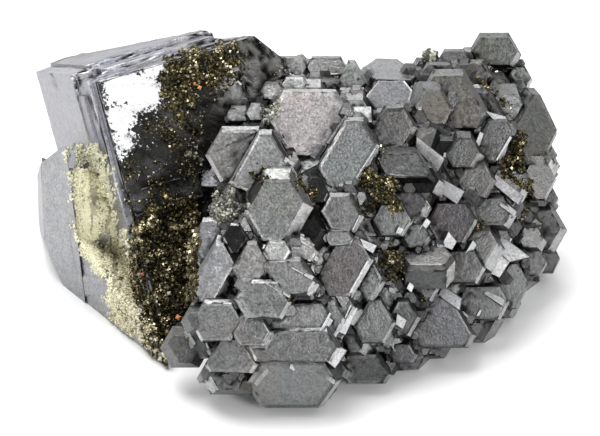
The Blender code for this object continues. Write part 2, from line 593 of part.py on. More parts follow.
def keep_largest(target):
    """Leaves only the largest connected piece."""
    shape = bmesh.new()
    shape.from_mesh(target.data)
    left = set(shape.verts)
    best = []
    while left:
        piece = {left.pop()}
        edge = list(piece)
        while edge:
            vertex = edge.pop()
            for link in vertex.link_edges:
                other = link.other_vert(vertex)
                if other in left:
                    left.discard(other)
                    piece.add(other)
                    edge.append(other)
        if len(piece) > len(best):
            best = piece
    bmesh.ops.delete(shape, geom=[vertex for vertex in shape.verts if vertex not in best], context="VERTS")
    shape.to_mesh(target.data)
    shape.free()


def grains(outline, height, count, dice, normal):
    """Small half octahedra that stand on a plane, inside an outline of the display side."""
    shape = bmesh.new()
    spots = []
    across = [point[0] for point in outline]
    up = [point[1] for point in outline]
    for _ in range(count * 12):
        spot = (dice.uniform(min(across), max(across)), dice.uniform(min(up), max(up)))
        if len(spots) >= count or not in_outline(outline, *spot):
            continue
        if any(math.hypot(spot[0] - x, spot[1] - y) < 1.25 for x, y in spots):
            continue
        spots.append(spot)
        size = dice.uniform(*DRUSE_GRAIN)
        middle = placed(spot[0], spot[1], height(*spot)) + normal * (size / 2 - 0.3)
        spin = Matrix.Rotation(dice.uniform(0, math.pi), 4, "Z")
        lean = Matrix.Rotation(dice.uniform(-0.25, 0.25), 4, "X")
        stand = normal.to_track_quat("Z", "Y").to_matrix().to_4x4()
        matrix = Matrix.Translation(middle) @ stand @ lean @ spin
        bmesh.ops.create_cone(
            shape, cap_ends=True, segments=4, radius1=size * 0.8, radius2=0.02, depth=size, matrix=matrix
        )
    return shape


def front_face_out(across, up):
    """How far out the block's front face lies at a place of the display side."""
    normal = -Vector(BLOCK_BACK).normalized()
    side = (across - BLOCK_CORNER[0]) * normal.x + (up - BLOCK_CORNER[1]) * normal.y
    return BLOCK_CORNER[2] - side / normal.z


def build():
    for old in list(bpy.data.objects):
        bpy.data.objects.remove(old)
    parts = collection("galena_specimen")
    cutters = collection("cutters")
    dice = random.Random(SEED)

    galena = block("galena", 0.0, parts)
    cluster = lump_core("barrel", cutters)
    combine(cluster, "UNION", lump_core("ridge", cutters))
    combine(cluster, "UNION", lump_core("shoulder", cutters))
    crystals = list(display_crystals()) + list(fill_crystals(dice))
    for first in range(0, len(crystals), CRYSTALS_AT_ONCE):
        group = crystals[first : first + CRYSTALS_AT_ONCE]
        if not grow_together(cluster, group, cutters):
            for one in group:
                grow_together(cluster, [one], cutters)

    made = {}
    for name, outline, reach, seed in (
        ("chalcopyrite_druse_upper", UPPER_DRUSE, -6.0, 3),
        ("chalcopyrite_druse_lower", LOWER_DRUSE, -16.0, 5),
    ):
        room = block("room", DRUSE_CLEARANCE + GAP, cutters)
        combine(room, "INTERSECT", prism(grown_outline(outline, GAP), reach - 1, 40, cutters))
        combine(cluster, "DIFFERENCE", room)
        druse = block(name, GAP + DRUSE_THICKNESS, parts)
        combine(druse, "INTERSECT", prism(outline, reach, 40, cutters))
        inner = grown_outline(outline, -1.1)
        top = GAP + DRUSE_THICKNESS
        facing = -turned(BLOCK_BACK)
        shape = grains(inner, lambda x, y: front_face_out(x, y) + top, 30, random.Random(seed), facing)
        combine(druse, "UNION", add_object("grains", shape, cutters), with_itself=True)
        combine(druse, "DIFFERENCE", block("inside", GAP, cutters))
        keep_largest(druse)
        made[name] = (druse, "chalcopyrite")

    room = block("room", CRUST_THICKNESS + 2 * GAP, cutters)
    combine(room, "INTERSECT", prism(grown_outline(PALE_CRUST, GAP), -38, 40, cutters))
    combine(cluster, "DIFFERENCE", room)
    crust = block("pale_crust", GAP + CRUST_THICKNESS, parts)
    combine(crust, "INTERSECT", prism(PALE_CRUST, -36, 40, cutters))
    combine(crust, "DIFFERENCE", prism(grown_outline(LOWER_DRUSE, GAP), -50, 50, cutters))
    combine(crust, "DIFFERENCE", block("inside", GAP, cutters))
    keep_largest(crust)
    made["pale_crust"] = (crust, "pale_crust")

    for place, (name, (outline, depth, kind)) in enumerate(POCKETS.items()):
        middle = Vector(outline[0]).lerp(Vector(outline[len(outline) // 2]), 0.5)
        floor = front_of_lumps(*middle)[0] - depth
        combine(cluster, "DIFFERENCE", prism(grown_outline(outline, GAP), floor, floor + 30, cutters))
        druse = prism(outline, floor + GAP, floor + GAP + DRUSE_THICKNESS, parts, name)
        inner = grown_outline(outline, -1.0)
        top = floor + GAP + DRUSE_THICKNESS
        facing = FRAME @ Vector((0, 0, 1))
        shape = grains(inner, lambda x, y: top, 22, random.Random(place + 20), facing)
        combine(druse, "UNION", add_object("grains", shape, cutters), with_itself=True)
        made[name] = (druse, kind)

    across, up, radius = CALCITE_GRAIN
    seat = Matrix.Translation(placed(across, up, front_of_lumps(across, up - 2.5)[0]))
    hollow = bmesh.new()
    bmesh.ops.create_icosphere(hollow, subdivisions=2, radius=radius + GAP, matrix=seat)
    combine(cluster, "DIFFERENCE", add_object("hollow", hollow, cutters))
    blob = bmesh.new()
    bmesh.ops.create_icosphere(blob, subdivisions=2, radius=radius, matrix=seat)
    made["calcite_grain"] = (add_object("calcite_grain", blob, parts), "calcite")

    combine(galena, "UNION", cluster)
    made["galena"] = (galena, "galena")
    corners = [vertex.co for vertex in galena.data.vertices if vertex.co.z > 0]
    across = [corner.x for corner in corners]
    along = [corner.y for corner in corners]
    middle = ((min(across) + max(across)) / 2, (min(along) + max(along)) / 2)
    for name, (target, kind) in made.items():
        lift = 0.0 if name == "galena" else GAP
        ground = trimmed_cube([((0, 0, lift), (0, 0, 1))], stock=300.0)
        combine(target, "DIFFERENCE", add_object("ground", ground, cutters))
        keep_largest(target)
        target.data.transform(Matrix.Translation((-middle[0], -middle[1], 0.0)))
        target.data.materials.clear()
        target.data.materials.append(mineral(name, kind))
        print(name, len(target.data.polygons), "faces")
    print("the base's middle was at", [round(value / MM, 3) for value in middle])


build()
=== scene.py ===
"""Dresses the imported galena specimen: crystal faces, cleavage, druses and crust, on a pale table."""

import math
import random

import bmesh
import bpy
import numpy as np
from mathutils import Matrix, Vector, noise
from mathutils.bvhtree import BVHTree


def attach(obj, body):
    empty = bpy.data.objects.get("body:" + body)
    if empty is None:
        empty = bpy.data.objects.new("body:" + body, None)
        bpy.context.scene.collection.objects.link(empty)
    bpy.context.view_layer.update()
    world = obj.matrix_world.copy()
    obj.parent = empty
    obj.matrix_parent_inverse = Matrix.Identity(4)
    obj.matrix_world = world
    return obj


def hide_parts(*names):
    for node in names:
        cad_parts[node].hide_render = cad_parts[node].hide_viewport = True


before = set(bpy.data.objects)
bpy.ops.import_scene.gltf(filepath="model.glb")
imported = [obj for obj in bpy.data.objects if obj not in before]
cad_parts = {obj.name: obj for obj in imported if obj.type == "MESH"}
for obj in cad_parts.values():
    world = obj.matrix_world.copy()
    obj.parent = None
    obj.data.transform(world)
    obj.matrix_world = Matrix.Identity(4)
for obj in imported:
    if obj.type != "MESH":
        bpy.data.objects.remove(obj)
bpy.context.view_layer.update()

MM = 0.001

# The display side: how far it is tipped back, and where its middle lies over the base, in millimetres
DISPLAY_TILT = math.radians(35.0)
DISPLAY_DISTANCE = 900.0
DISPLAY_MIDDLE = Vector((0.253, -10.558, 23.6))
VIEW_WIDTH = 120.0
SENSOR_WIDTH = 36.0

# The cleaved block: its front top left corner and its edges backwards and to the right, across, up, out
BLOCK_CORNER = (-41.8, 27.6, 7.2)
BLOCK_BACK = Vector((-52.7, 9.2, -183.0)).normalized()
BLOCK_RIGHT = Vector((138.0, 42.0, -37.6)).normalized()

ANY_SPIN = 6.3
CUBE_ANGLE = math.acos(1 / math.sqrt(3))
OCTAHEDRON_ANGLE = math.acos(1 / 3)

TILT = Matrix((
    (1, 0, 0),
    (0, math.sin(DISPLAY_TILT), -math.cos(DISPLAY_TILT)),
    (0, math.cos(DISPLAY_TILT), math.sin(DISPLAY_TILT)),
))
ACROSS, UP, OUT = (TILT @ Vector(axis) for axis in ((1, 0, 0), (0, 1, 0), (0, 0, 1)))


def place(across, up, out):
    """A point of the display side, in metres in the specimen's frame."""
    nearer = 1 - out / DISPLAY_DISTANCE
    return (TILT @ Vector((across * nearer, up * nearer, out)) + DISPLAY_MIDDLE) * MM


def display_of(point):
    """Across, up and out of a point, in millimetres, as it looks from the display side."""
    across, up, out = TILT.transposed() @ (point / MM - DISPLAY_MIDDLE)
    nearer = 1 - out / DISPLAY_DISTANCE
    return across / nearer, up / nearer, out


CORNER = place(*BLOCK_CORNER)
BACKWARD, RIGHTWARD = TILT @ BLOCK_BACK, TILT @ BLOCK_RIGHT
DOWNWARD = BACKWARD.cross(RIGHTWARD)
FRONT, LEFT, TOP = -BACKWARD, -RIGHTWARD, -DOWNWARD


def in_block(point):
    """How far back, right and down of the block's corner a point lies, in millimetres."""
    step = (point - CORNER) / MM
    return step.dot(BACKWARD), step.dot(RIGHTWARD), step.dot(DOWNWARD)


def limited(value, low=0.0, high=1.0):
    """A value kept between two others."""
    return min(max(value, low), high)


# Shader groups

def new_group(name, inputs, outputs):
    """A node group with its sockets, and its input and output nodes."""
    group = bpy.data.node_groups.new(name, "ShaderNodeTree")
    for label, kind, value in inputs:
        socket = group.interface.new_socket(label, in_out="INPUT", socket_type=kind)
        socket.default_value = value
    for label, kind in outputs:
        group.interface.new_socket(label, in_out="OUTPUT", socket_type=kind)
    return group, group.nodes.new("NodeGroupInput"), group.nodes.new("NodeGroupOutput")


def noise_node(tree, vector, scale, detail=3.0, roughness=0.55):
    """Noise whose scale is a number or comes from a socket."""
    made = tree.nodes.new("ShaderNodeTexNoise")
    made.inputs["Detail"].default_value = detail
    made.inputs["Roughness"].default_value = roughness
    if isinstance(scale, (int, float)):
        made.inputs["Scale"].default_value = scale
    else:
        tree.links.new(scale, made.inputs["Scale"])
    tree.links.new(vector, made.inputs["Vector"])
    return made.outputs["Fac"]


def math_node(tree, operation, first, second=0.0, clamp=False):
    made = tree.nodes.new("ShaderNodeMath")
    made.operation = operation
    made.use_clamp = clamp
    for socket, value in zip(made.inputs, (first, second)):
        if isinstance(value, (int, float)):
            socket.default_value = value
        else:
            tree.links.new(value, socket)
    return made.outputs[0]


def times(tree, first, second, clamp=False):
    return math_node(tree, "MULTIPLY", first, second, clamp)


def ramp_node(tree, value, low, high, to_low=0.0, to_high=1.0):
    """A value stretched from one span to another and kept inside it."""
    made = tree.nodes.new("ShaderNodeMapRange")
    made.clamp = True
    tree.links.new(value, made.inputs["Value"])
    for label, number in (("From Min", low), ("From Max", high), ("To Min", to_low), ("To Max", to_high)):
        made.inputs[label].default_value = number
    return made.outputs["Result"]


def mix_colour(tree, factor, first, second, blend="MIX"):
    made = tree.nodes.new("ShaderNodeMix")
    made.data_type = "RGBA"
    made.blend_type = blend
    made.clamp_factor = True
    for socket, value in zip((made.inputs[0], made.inputs[6], made.inputs[7]), (factor, first, second)):
        if isinstance(value, (int, float, tuple)):
            socket.default_value = value
        else:
            tree.links.new(value, socket)
    return made.outputs[2]


def specimen_coordinates(tree):
    return tree.nodes.new("ShaderNodeTexCoord").outputs["Object"]


def sandy_grain():
    """The fine sandy grain and tiny pits of a galena face."""
    group, given, out = new_group(
        "sandy_grain",
        [("Scale", "NodeSocketFloat", 2100.0), ("Pit Amount", "NodeSocketFloat", 0.5)],
        [("Grain", "NodeSocketFloat"), ("Pits", "NodeSocketFloat"), ("Height", "NodeSocketFloat")],
    )
    where = specimen_coordinates(group)
    fine = noise_node(group, where, given.outputs["Scale"], 4.0, 0.65)
    coarse = noise_node(group, where, 620.0, 3.0, 0.6)
    cells = group.nodes.new("ShaderNodeTexVoronoi")
    cells.inputs["Scale"].default_value = 900.0
    group.links.new(where, cells.inputs["Vector"])
    pit = ramp_node(group, cells.outputs["Distance"], 0.10, 0.26, 1.0, 0.0)
    pits = times(group, pit, ramp_node(group, coarse, 0.5, 0.66))
    pits = times(group, pits, given.outputs["Pit Amount"], True)
    grain = math_node(group, "ADD", times(group, fine, 0.7), times(group, coarse, 0.3))
    height = math_node(group, "SUBTRACT", grain, times(group, pits, 0.8))
    group.links.new(grain, out.inputs["Grain"])
    group.links.new(pits, out.inputs["Pits"])
    group.links.new(height, out.inputs["Height"])
    return group


def tarnish():
    """Broad soft patches of a second and a third tint over a metal."""
    group, given, out = new_group(
        "tarnish",
        [
            ("Metal", "NodeSocketColor", (0.4, 0.4, 0.42, 1)),
            ("Warm Tint", "NodeSocketColor", (0.42, 0.38, 0.34, 1)),
            ("Cool Tint", "NodeSocketColor", (0.40, 0.42, 0.47, 1)),
            ("Amount", "NodeSocketFloat", 0.6),
        ],
        [("Colour", "NodeSocketColor")],
    )
    where = specimen_coordinates(group)
    warm = ramp_node(group, noise_node(group, where, 95.0, 4.0, 0.6), 0.48, 0.66)
    cool = ramp_node(group, noise_node(group, where, 150.0, 3.0, 0.5), 0.46, 0.62)
    warm = times(group, warm, given.outputs["Amount"], True)
    cool = times(group, cool, given.outputs["Amount"], True)
    first = mix_colour(group, warm, given.outputs["Metal"], given.outputs["Warm Tint"])
    group.links.new(mix_colour(group, cool, first, given.outputs["Cool Tint"]), out.inputs["Colour"])
    return group


def crevice_shade_mask():
    """A mask of painted shade, high in crevices, from how sheltered the form itself keeps each corner, and
    along the block's cracks.
    """
    group, given, out = new_group(
        "crevice_shade_mask",
        [("Spread", "NodeSocketFloat", 420.0), ("Amount", "NodeSocketFloat", 0.7)],
        [("Mask", "NodeSocketFloat")],
    )
    stored = group.nodes.new("ShaderNodeAttribute")
    stored.attribute_name = "shade_and_cracks"
    patchy = noise_node(group, specimen_coordinates(group), given.outputs["Spread"], 4.0, 0.7)
    mask = times(group, stored.outputs["Fac"], ramp_node(group, patchy, 0.25, 0.6, 0.45, 1.3))
    group.links.new(times(group, mask, given.outputs["Amount"], True), out.inputs["Mask"])
    return group


def bare_patch_and_glare():
    """The bright part of the block's front, partly worn bare galena and partly painted glare: its place comes
    from the mesh, its broken rim from noise.
    """
    group, given, out = new_group(
        "bare_patch_and_glare", [("Break Up", "NodeSocketFloat", 1.0)], [("Mask", "NodeSocketFloat")],
    )
    stored = group.nodes.new("ShaderNodeAttribute")
    stored.attribute_name = "bare_and_glare"
    where = specimen_coordinates(group)
    broad = noise_node(group, where, 260.0, 5.0, 0.65)
    fine = noise_node(group, where, 1500.0, 3.0, 0.6)
    broken = math_node(group, "ADD", times(group, broad, 1.7), times(group, fine, 1.6))
    broken = times(group, math_node(group, "SUBTRACT", broken, 1.65), given.outputs["Break Up"])
    mask = ramp_node(group, math_node(group, "ADD", stored.outputs["Fac"], broken), 0.44, 0.60)
    group.links.new(mask, out.inputs["Mask"])
    return group


SANDY_GRAIN, TARNISH, CREVICE_SHADE_MASK, BARE_PATCH_AND_GLARE = sandy_grain(), tarnish(), crevice_shade_mask(), bare_patch_and_glare()


# Finishes

def new_material(name):
    """A material, its node tree and its surface node."""
    made = bpy.data.materials.new(name)
    made.use_nodes = True
    return made, made.node_tree, made.node_tree.nodes["Principled BSDF"]


def placed_group(tree, group, **values):
    """A node group placed in a tree with some inputs set; an underscore in a name stands for a space."""
    made = tree.nodes.new("ShaderNodeGroup")
    made.node_tree = group
    for label, value in values.items():
        made.inputs[label.replace("_", " ")].default_value = value
    return made


def bump(tree, surface, height, distance):
    made = tree.nodes.new("ShaderNodeBump")
    made.inputs["Distance"].default_value = distance
    made.inputs["Strength"].default_value = 1.0
    tree.links.new(height, made.inputs["Height"])
    tree.links.new(made.outputs["Normal"], surface.inputs["Normal"])


PIT_DARK = (0.05, 0.05, 0.055, 1)
# The colour of the worn galena on the block's front, bright as painted glare
BARE_AND_GLARE_BRIGHT = (0.86, 0.86, 0.87, 1)


def galena_finish(name, metal, warm, cool, amount, roughness, pits, depth, crevice_shade_amount, crevice_shade_colour, bare_and_glare=False):
    """Lead-grey metal with a sandy grain, tarnish patches, a tone for each face, painted shade in its
    crevices, and if asked a bright patch of worn galena with painted glare.
    """
    made, tree, surface = new_material(name)
    grain = placed_group(tree, SANDY_GRAIN, Pit_Amount=pits)
    tint = placed_group(tree, TARNISH, Metal=metal, Warm_Tint=warm, Cool_Tint=cool, Amount=amount)
    shade_and_cracks = placed_group(tree, CREVICE_SHADE_MASK, Amount=crevice_shade_amount)
    tone = tree.nodes.new("ShaderNodeAttribute")
    tone.attribute_name = "tone"
    colour = mix_colour(tree, 1.0, tint.outputs["Colour"], tone.outputs["Color"], "MULTIPLY")
    speckle = ramp_node(tree, grain.outputs["Grain"], 0.37, 0.63, 0.66, 1.34)
    shade = tree.nodes.new("ShaderNodeCombineColor")
    for channel in ("Red", "Green", "Blue"):
        tree.links.new(speckle, shade.inputs[channel])
    colour = mix_colour(tree, 1.0, colour, shade.outputs["Color"], "MULTIPLY")
    colour = mix_colour(tree, times(tree, grain.outputs["Pits"], 0.8), colour, PIT_DARK)
    # Painted shade: crevices and cracks darken toward the finish's shade colour
    colour = mix_colour(tree, shade_and_cracks.outputs["Mask"], colour, crevice_shade_colour)
    # Painted glare with worn bare galena on the block's front
    if bare_and_glare:
        patch = placed_group(tree, BARE_PATCH_AND_GLARE, Break_Up=1.25).outputs["Mask"]
        colour = mix_colour(tree, patch, colour, BARE_AND_GLARE_BRIGHT)
    tree.links.new(colour, surface.inputs["Base Color"])
    rough = ramp_node(tree, grain.outputs["Grain"], 0.35, 0.65, roughness - 0.08, roughness + 0.10)
    rough = math_node(tree, "ADD", rough, times(tree, shade_and_cracks.outputs["Mask"], 0.25), True)
    tree.links.new(rough, surface.inputs["Roughness"])
    surface.inputs["Metallic"].default_value = 0.9
    bump(tree, surface, grain.outputs["Height"], depth)
    return made


# The last colour of each finish is the painted shade that its crevices and cracks darken to
CRYSTAL = galena_finish(
    "galena_crystal_faces", (0.198, 0.198, 0.199, 1), (0.212, 0.194, 0.174, 1), (0.184, 0.197, 0.194, 1), 0.5,
    0.36, 0.7, 0.00014, 1.0, (0.010, 0.009, 0.008, 1),
)
# Painted reflection: a lighter copy of the galena for the faces of the shining crystals that mirror the white
# table
PAINTED_REFLECTION_FACE = galena_finish(
    "galena_painted_reflection_faces", (0.56, 0.56, 0.57, 1), (0.52, 0.51, 0.50, 1), (0.53, 0.55, 0.58, 1), 0.4,
    0.32, 0.5, 0.00008, 0.3, (0.1, 0.1, 0.1, 1),
)
CLEAVAGE = galena_finish(
    "galena_cleavage", (0.31, 0.31, 0.33, 1), (0.29, 0.28, 0.27, 1), (0.27, 0.28, 0.325, 1), 0.6,
    0.42, 0.5, 0.00018, 1.0, (0.03, 0.028, 0.028, 1),
)
# The block's front: stained galena, drawn far darker than the cleavage as painted shade, since that face lies
# in shadow
STAINED_AND_SHADED_FRONT = galena_finish(
    "galena_stained_and_shaded_front", (0.030, 0.030, 0.029, 1), (0.016, 0.015, 0.012, 1), (0.085, 0.085, 0.084, 1), 0.9,
    0.46, 1.0, 0.0004, 0.9, (0.006, 0.005, 0.004, 1), True,
)
SMOOTH_SLAB = galena_finish(
    "galena_smooth_slab", (0.335, 0.335, 0.34, 1), (0.32, 0.31, 0.305, 1), (0.32, 0.33, 0.35, 1), 0.5,
    0.42, 0.25, 0.00009, 0.6, (0.06, 0.06, 0.06, 1),
)


DRUSE_BUMP = 0.00008


def druse_finish(name, dark, gold, bright, roughness, metallic):
    """Fine crystals, each with a tone of its own between dark, gold and a bright sparkle, which is a painted
    glint.
    """
    made, tree, surface = new_material(name)
    tone = tree.nodes.new("ShaderNodeAttribute")
    tone.attribute_name = "grain_tone"
    low = ramp_node(tree, tone.outputs["Fac"], 0.30, 0.80)
    high = ramp_node(tree, tone.outputs["Fac"], 0.86, 0.97)
    colour = mix_colour(tree, low, dark, gold)
    # Painted glint: the highest tones take the brightest colour
    colour = mix_colour(tree, high, colour, bright)
    grain = placed_group(tree, SANDY_GRAIN, Scale=4200.0)
    colour = mix_colour(tree, ramp_node(tree, grain.outputs["Grain"], 0.4, 0.6, 0.45, 0.0), colour, dark)
    tree.links.new(colour, surface.inputs["Base Color"])
    rough = ramp_node(tree, grain.outputs["Grain"], 0.35, 0.65, roughness - 0.06, roughness + 0.16)
    tree.links.new(rough, surface.inputs["Roughness"])
    surface.inputs["Metallic"].default_value = metallic
    bump(tree, surface, grain.outputs["Height"], DRUSE_BUMP)
    return made


DRUSE = druse_finish(
    "chalcopyrite_druse", (0.030, 0.026, 0.015, 1), (0.27, 0.225, 0.108, 1), (1.0, 0.93, 0.66, 1), 0.28, 0.9,
)
SUGAR = druse_finish(
    "calcite_sugar", (0.08, 0.08, 0.065, 1), (0.66, 0.65, 0.54, 1), (0.95, 0.95, 0.88, 1), 0.45, 0.0,
)
# The pale crust: pale grains partly of their own colour and partly the druse drawn paler as painted light,
# where light falls on the block's left face
LIT_CRUST_FINISH = druse_finish(
    "pale_crust_painted_lit", (0.50, 0.46, 0.33, 1), (0.97, 0.95, 0.72, 1), (1.0, 0.99, 0.74, 1), 0.7, 0.0,
)
SANDY_RIM = druse_finish(
    "sandy_rim", (0.30, 0.26, 0.14, 1), (0.96, 0.91, 0.66, 1), (1.0, 0.98, 0.84, 1), 0.5, 0.0,
)
ORANGE = druse_finish(
    "orange_grain", (0.55, 0.20, 0.07, 1), (0.85, 0.36, 0.14, 1), (0.95, 0.5, 0.25, 1), 0.4, 0.2,
)
RED = druse_finish(
    "red_grain", (0.35, 0.05, 0.03, 1), (0.65, 0.12, 0.07, 1), (0.8, 0.2, 0.1, 1), 0.4, 0.2,
)
BRIGHT_GOLD = druse_finish(
    "bright_gold_grain", (0.55, 0.42, 0.10, 1), (0.92, 0.76, 0.30, 1), (1.0, 0.9, 0.5, 1), 0.3, 0.6,
)


# Shapes

def linked(name, data, *materials):
    """An object made of a mesh in its materials, with nothing of it below the ground."""
    places = np.empty(len(data.vertices) * 3)
    data.vertices.foreach_get("co", places)
    places[2::3] = np.maximum(places[2::3], 0.0)
    data.vertices.foreach_set("co", places)
    made = bpy.data.objects.new(name, data)
    bpy.context.scene.collection.objects.link(made)
    for material in materials:
        data.materials.append(material)
    return made


def small_crystal(dice):
    """The corners and faces of one flattened octahedral crystal, about one across, facing +Z."""
    shape = bmesh.new()
    bmesh.ops.create_cube(shape, size=6.0)
    depth = dice.uniform(0.35, 0.7)
    planes = [(Vector((0, 0, 0)), Vector((0, 0, 1))), (Vector((0, 0, -2 * depth)), Vector((0, 0, -1)))]
    for k in range(6):
        bearing = math.radians(30 + 60 * k)
        outward = Vector((math.cos(bearing), math.sin(bearing), 0))
        slope = OCTAHEDRON_ANGLE if k % 2 == 0 else CUBE_ANGLE
        rim = outward * dice.uniform(0.3, 0.62)
        for side in (1, -1):
            tip = rim if side == 1 else rim - Vector((0, 0, 2 * depth))
            planes.append((tip, Vector((0, 0, side * math.cos(slope))) + outward * math.sin(slope)))
    for point, normal in planes:
        everything = shape.verts[:] + shape.edges[:] + shape.faces[:]
        bmesh.ops.bisect_plane(
            shape, geom=everything, dist=1e-5, plane_co=point, plane_no=normal, clear_outer=True,
        )
        bmesh.ops.holes_fill(shape, edges=[edge for edge in shape.edges if edge.is_boundary])
    bmesh.ops.recalc_face_normals(shape, faces=shape.faces)
    shape.verts.ensure_lookup_table()
    corners = np.array([vertex.co[:] for vertex in shape.verts])
    faces = [[vertex.index for vertex in face.verts] for face in shape.faces]
    shape.free()
    return corners, faces


OCTAHEDRON = (
    np.array([(1, 0, 0), (-1, 0, 0), (0, 1, 0), (0, -1, 0), (0, 0, 1), (0, 0, -1)], float) * 0.6,
    [[0, 2, 4], [2, 1, 4], [1, 3, 4], [3, 0, 4], [2, 0, 5], [1, 2, 5], [3, 1, 5], [0, 3, 5]],
)
CUBE = (
    np.array([(x, y, z) for x in (-1, 1) for y in (-1, 1) for z in (-1, 1)], float) * 0.42,
    [[0, 1, 3, 2], [4, 6, 7, 5], [0, 4, 5, 1], [2, 3, 7, 6], [0, 2, 6, 4], [1, 5, 7, 3]],
)
WEDGE = (
    np.array([(1, 0, -0.4), (-0.6, 0.8, -0.4), (-0.6, -0.8, -0.4), (0, 0, 0.7)], float) * 0.7,
    [[0, 2, 1], [0, 1, 3], [1, 2, 3], [2, 0, 3]],
)


def tipped(normal, dice, spread=0.5):
    """A direction that leans away from a normal by chance."""
    return (normal + Vector([dice.gauss(0, spread) for _ in range(3)])).normalized()


def plain_tones(data):
    """Turns the tones of small bodies into the colours that the galena finishes read, with no painted crevice
    shade.
    """
    tones = np.empty(len(data.polygons))
    data.attributes["grain_tone"].data.foreach_get("value", tones)
    colours = np.stack([tones, tones, tones, np.ones_like(tones)], axis=1)
    data.attributes.new("tone", "FLOAT_COLOR", "FACE").data.foreach_set("color", colours.ravel())
    data.attributes.new("shade_and_cracks", "FLOAT", "POINT")


def scattered(name, items, material):
    """One mesh of many small bodies: each item is (shape, matrix, tone)."""
    corners, faces, tones, start = [], [], [], 0
    for (points, sides), matrix, tone in items:
        turned = np.array(matrix)
        corners.append(points @ turned[:3, :3].T + turned[:3, 3])
        faces.extend([[start + corner for corner in side] for side in sides])
        tones.extend([tone] * len(sides))
        start += len(points)
    data = bpy.data.meshes.new(name)
    data.from_pydata(np.concatenate(corners).tolist(), [], faces)
    data.attributes.new("grain_tone", "FLOAT", "FACE").data.foreach_set("value", tones)
    return linked(name, data, material)


def tree_of(*nodes, more=()):
    """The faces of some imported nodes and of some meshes, ready for casting rays on them."""
    shape = bmesh.new()
    for data in [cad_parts[node].data for node in nodes] + list(more):
        shape.from_mesh(data)
    tree = BVHTree.FromBMesh(shape)
    shape.free()
    return tree


POCKETS = ("druse_pocket_centre", "druse_pocket_low", "druse_pocket_right", "druse_pocket_left")
GALENA_TREE = tree_of("galena")


def shelter(point, normal, dice, reach=0.004, rays=8):
    """How much of the sky over a point is blocked by the specimen, from 0 to 1."""
    start = point + normal * 0.00015
    blocked = 0
    for _ in range(rays):
        way = tipped(normal, dice, 0.55)
        if way.dot(normal) > 0.05 and GALENA_TREE.ray_cast(start, way, reach)[0] is not None:
            blocked += 1
    return blocked / rays


def surface_samples(node, count, dice):
    """Points spread over a node's faces by area, with their normals."""
    data = node.data
    data.calc_loop_triangles()
    corners = np.array([vertex.co[:] for vertex in data.vertices])
    triangles = np.array([triangle.vertices[:] for triangle in data.loop_triangles])
    a, b, c = (corners[triangles[:, k]] for k in range(3))
    crosses = np.cross(b - a, c - a)
    areas = np.linalg.norm(crosses, axis=1)
    chosen = dice.choices(range(len(triangles)), weights=areas.tolist(), k=count)
    for index in chosen:
        s, t = dice.random(), dice.random()
        if s + t > 1:
            s, t = 1 - s, 1 - t
        point = a[index] + (b[index] - a[index]) * s + (c[index] - a[index]) * t
        yield Vector(point), Vector(crosses[index] / max(areas[index], 1e-12))


# Outlines of the druses, the crust, the pockets and the worn galena with its painted glare on the display
# side, as (across, up)
UPPER_DRUSE = [
    (-28.0, 30.6), (-25.0, 33.2), (-20.0, 34.0), (-15.4, 34.8), (-13.0, 33.6), (-12.2, 31.4), (-13.4, 29.0),
    (-17.0, 26.6), (-20.0, 26.0), (-22.6, 23.0), (-24.2, 19.0), (-26.4, 22.0), (-27.6, 25.4),
]
LOWER_DRUSE = [
    (-33.4, -2.8), (-29.6, 1.2), (-27.0, 4.6), (-21.0, 4.0), (-20.0, -8.4), (-21.4, -16.0), (-24.4, -27.2),
    (-25.6, -30.4), (-28.6, -30.4), (-31.0, -26.0), (-33.6, -16.4), (-34.4, -8.8),
]
PALE_CRUST = [
    (-46.4, 16.6), (-41.0, 15.0), (-39.0, 13.6), (-37.8, 10.6), (-36.8, 0.6), (-35.8, -4.4), (-34.4, -8.4),
    (-30.6, -16.4), (-28.6, -26.2), (-34.0, -23.4), (-37.0, -21.4), (-38.6, -16.4), (-39.4, -11.4),
    (-43.0, -7.4), (-44.4, -4.4), (-44.8, 0.6), (-45.2, 5.6), (-46.0, 10.6),
]
LEFT_STRAND = [
    (-45.2, 8.6), (-43.6, 8.0), (-42.6, 2.0), (-41.4, -4.0), (-38.8, -9.6), (-36.8, -16.6), (-33.6, -23.0),
    (-36.4, -21.0), (-38.6, -16.4), (-40.0, -11.4), (-43.0, -7.4), (-44.6, -3.6), (-45.0, 1.6),
]
RIGHT_STRAND = [
    (-42.4, 12.6), (-40.4, 12.0), (-39.2, 7.6), (-37.8, 1.6), (-37.0, -3.4), (-38.0, -3.4), (-39.4, 1.6),
    (-41.0, 7.0),
]
SANDY_EDGE = [
    (-35.6, -3.0), (-33.6, -4.4), (-32.6, -12.0), (-30.0, -22.0), (-26.6, -28.0), (-27.0, -30.6),
    (-31.0, -29.0), (-37.6, -23.0), (-38.0, -18.0), (-36.0, -12.0),
]
CENTRE_POCKET = [
    (13.1, 10.7), (15.1, 10.2), (17.4, 8.7), (19.1, 7.3), (19.4, 5.9), (19.7, 4.2), (20.6, 2.7), (20.3, 1.3),
    (18.6, 1.6), (17.4, 2.7), (16.0, 2.2), (14.3, 1.0), (12.6, 0.5), (13.4, 2.5), (14.6, 3.9), (13.1, 5.6),
    (11.1, 6.5), (12.0, 7.9),
]
LOW_POCKET = [
    (15.6, -6.8), (17.6, -5.6), (20.0, -6.8), (21.6, -8.8), (19.6, -10.8), (20.4, -12.8), (18.4, -13.2),
    (17.2, -11.2), (16.0, -9.6),
]
RIGHT_POCKET = [
    (42.9, 18.2), (45.1, 17.0), (45.4, 14.7), (44.9, 12.5), (45.4, 9.0), (46.6, 6.2), (48.0, 3.3),
    (46.0, 3.3), (44.9, 5.6), (42.9, 7.3), (40.3, 8.5), (38.9, 10.2), (40.6, 12.7), (42.3, 15.0),
]
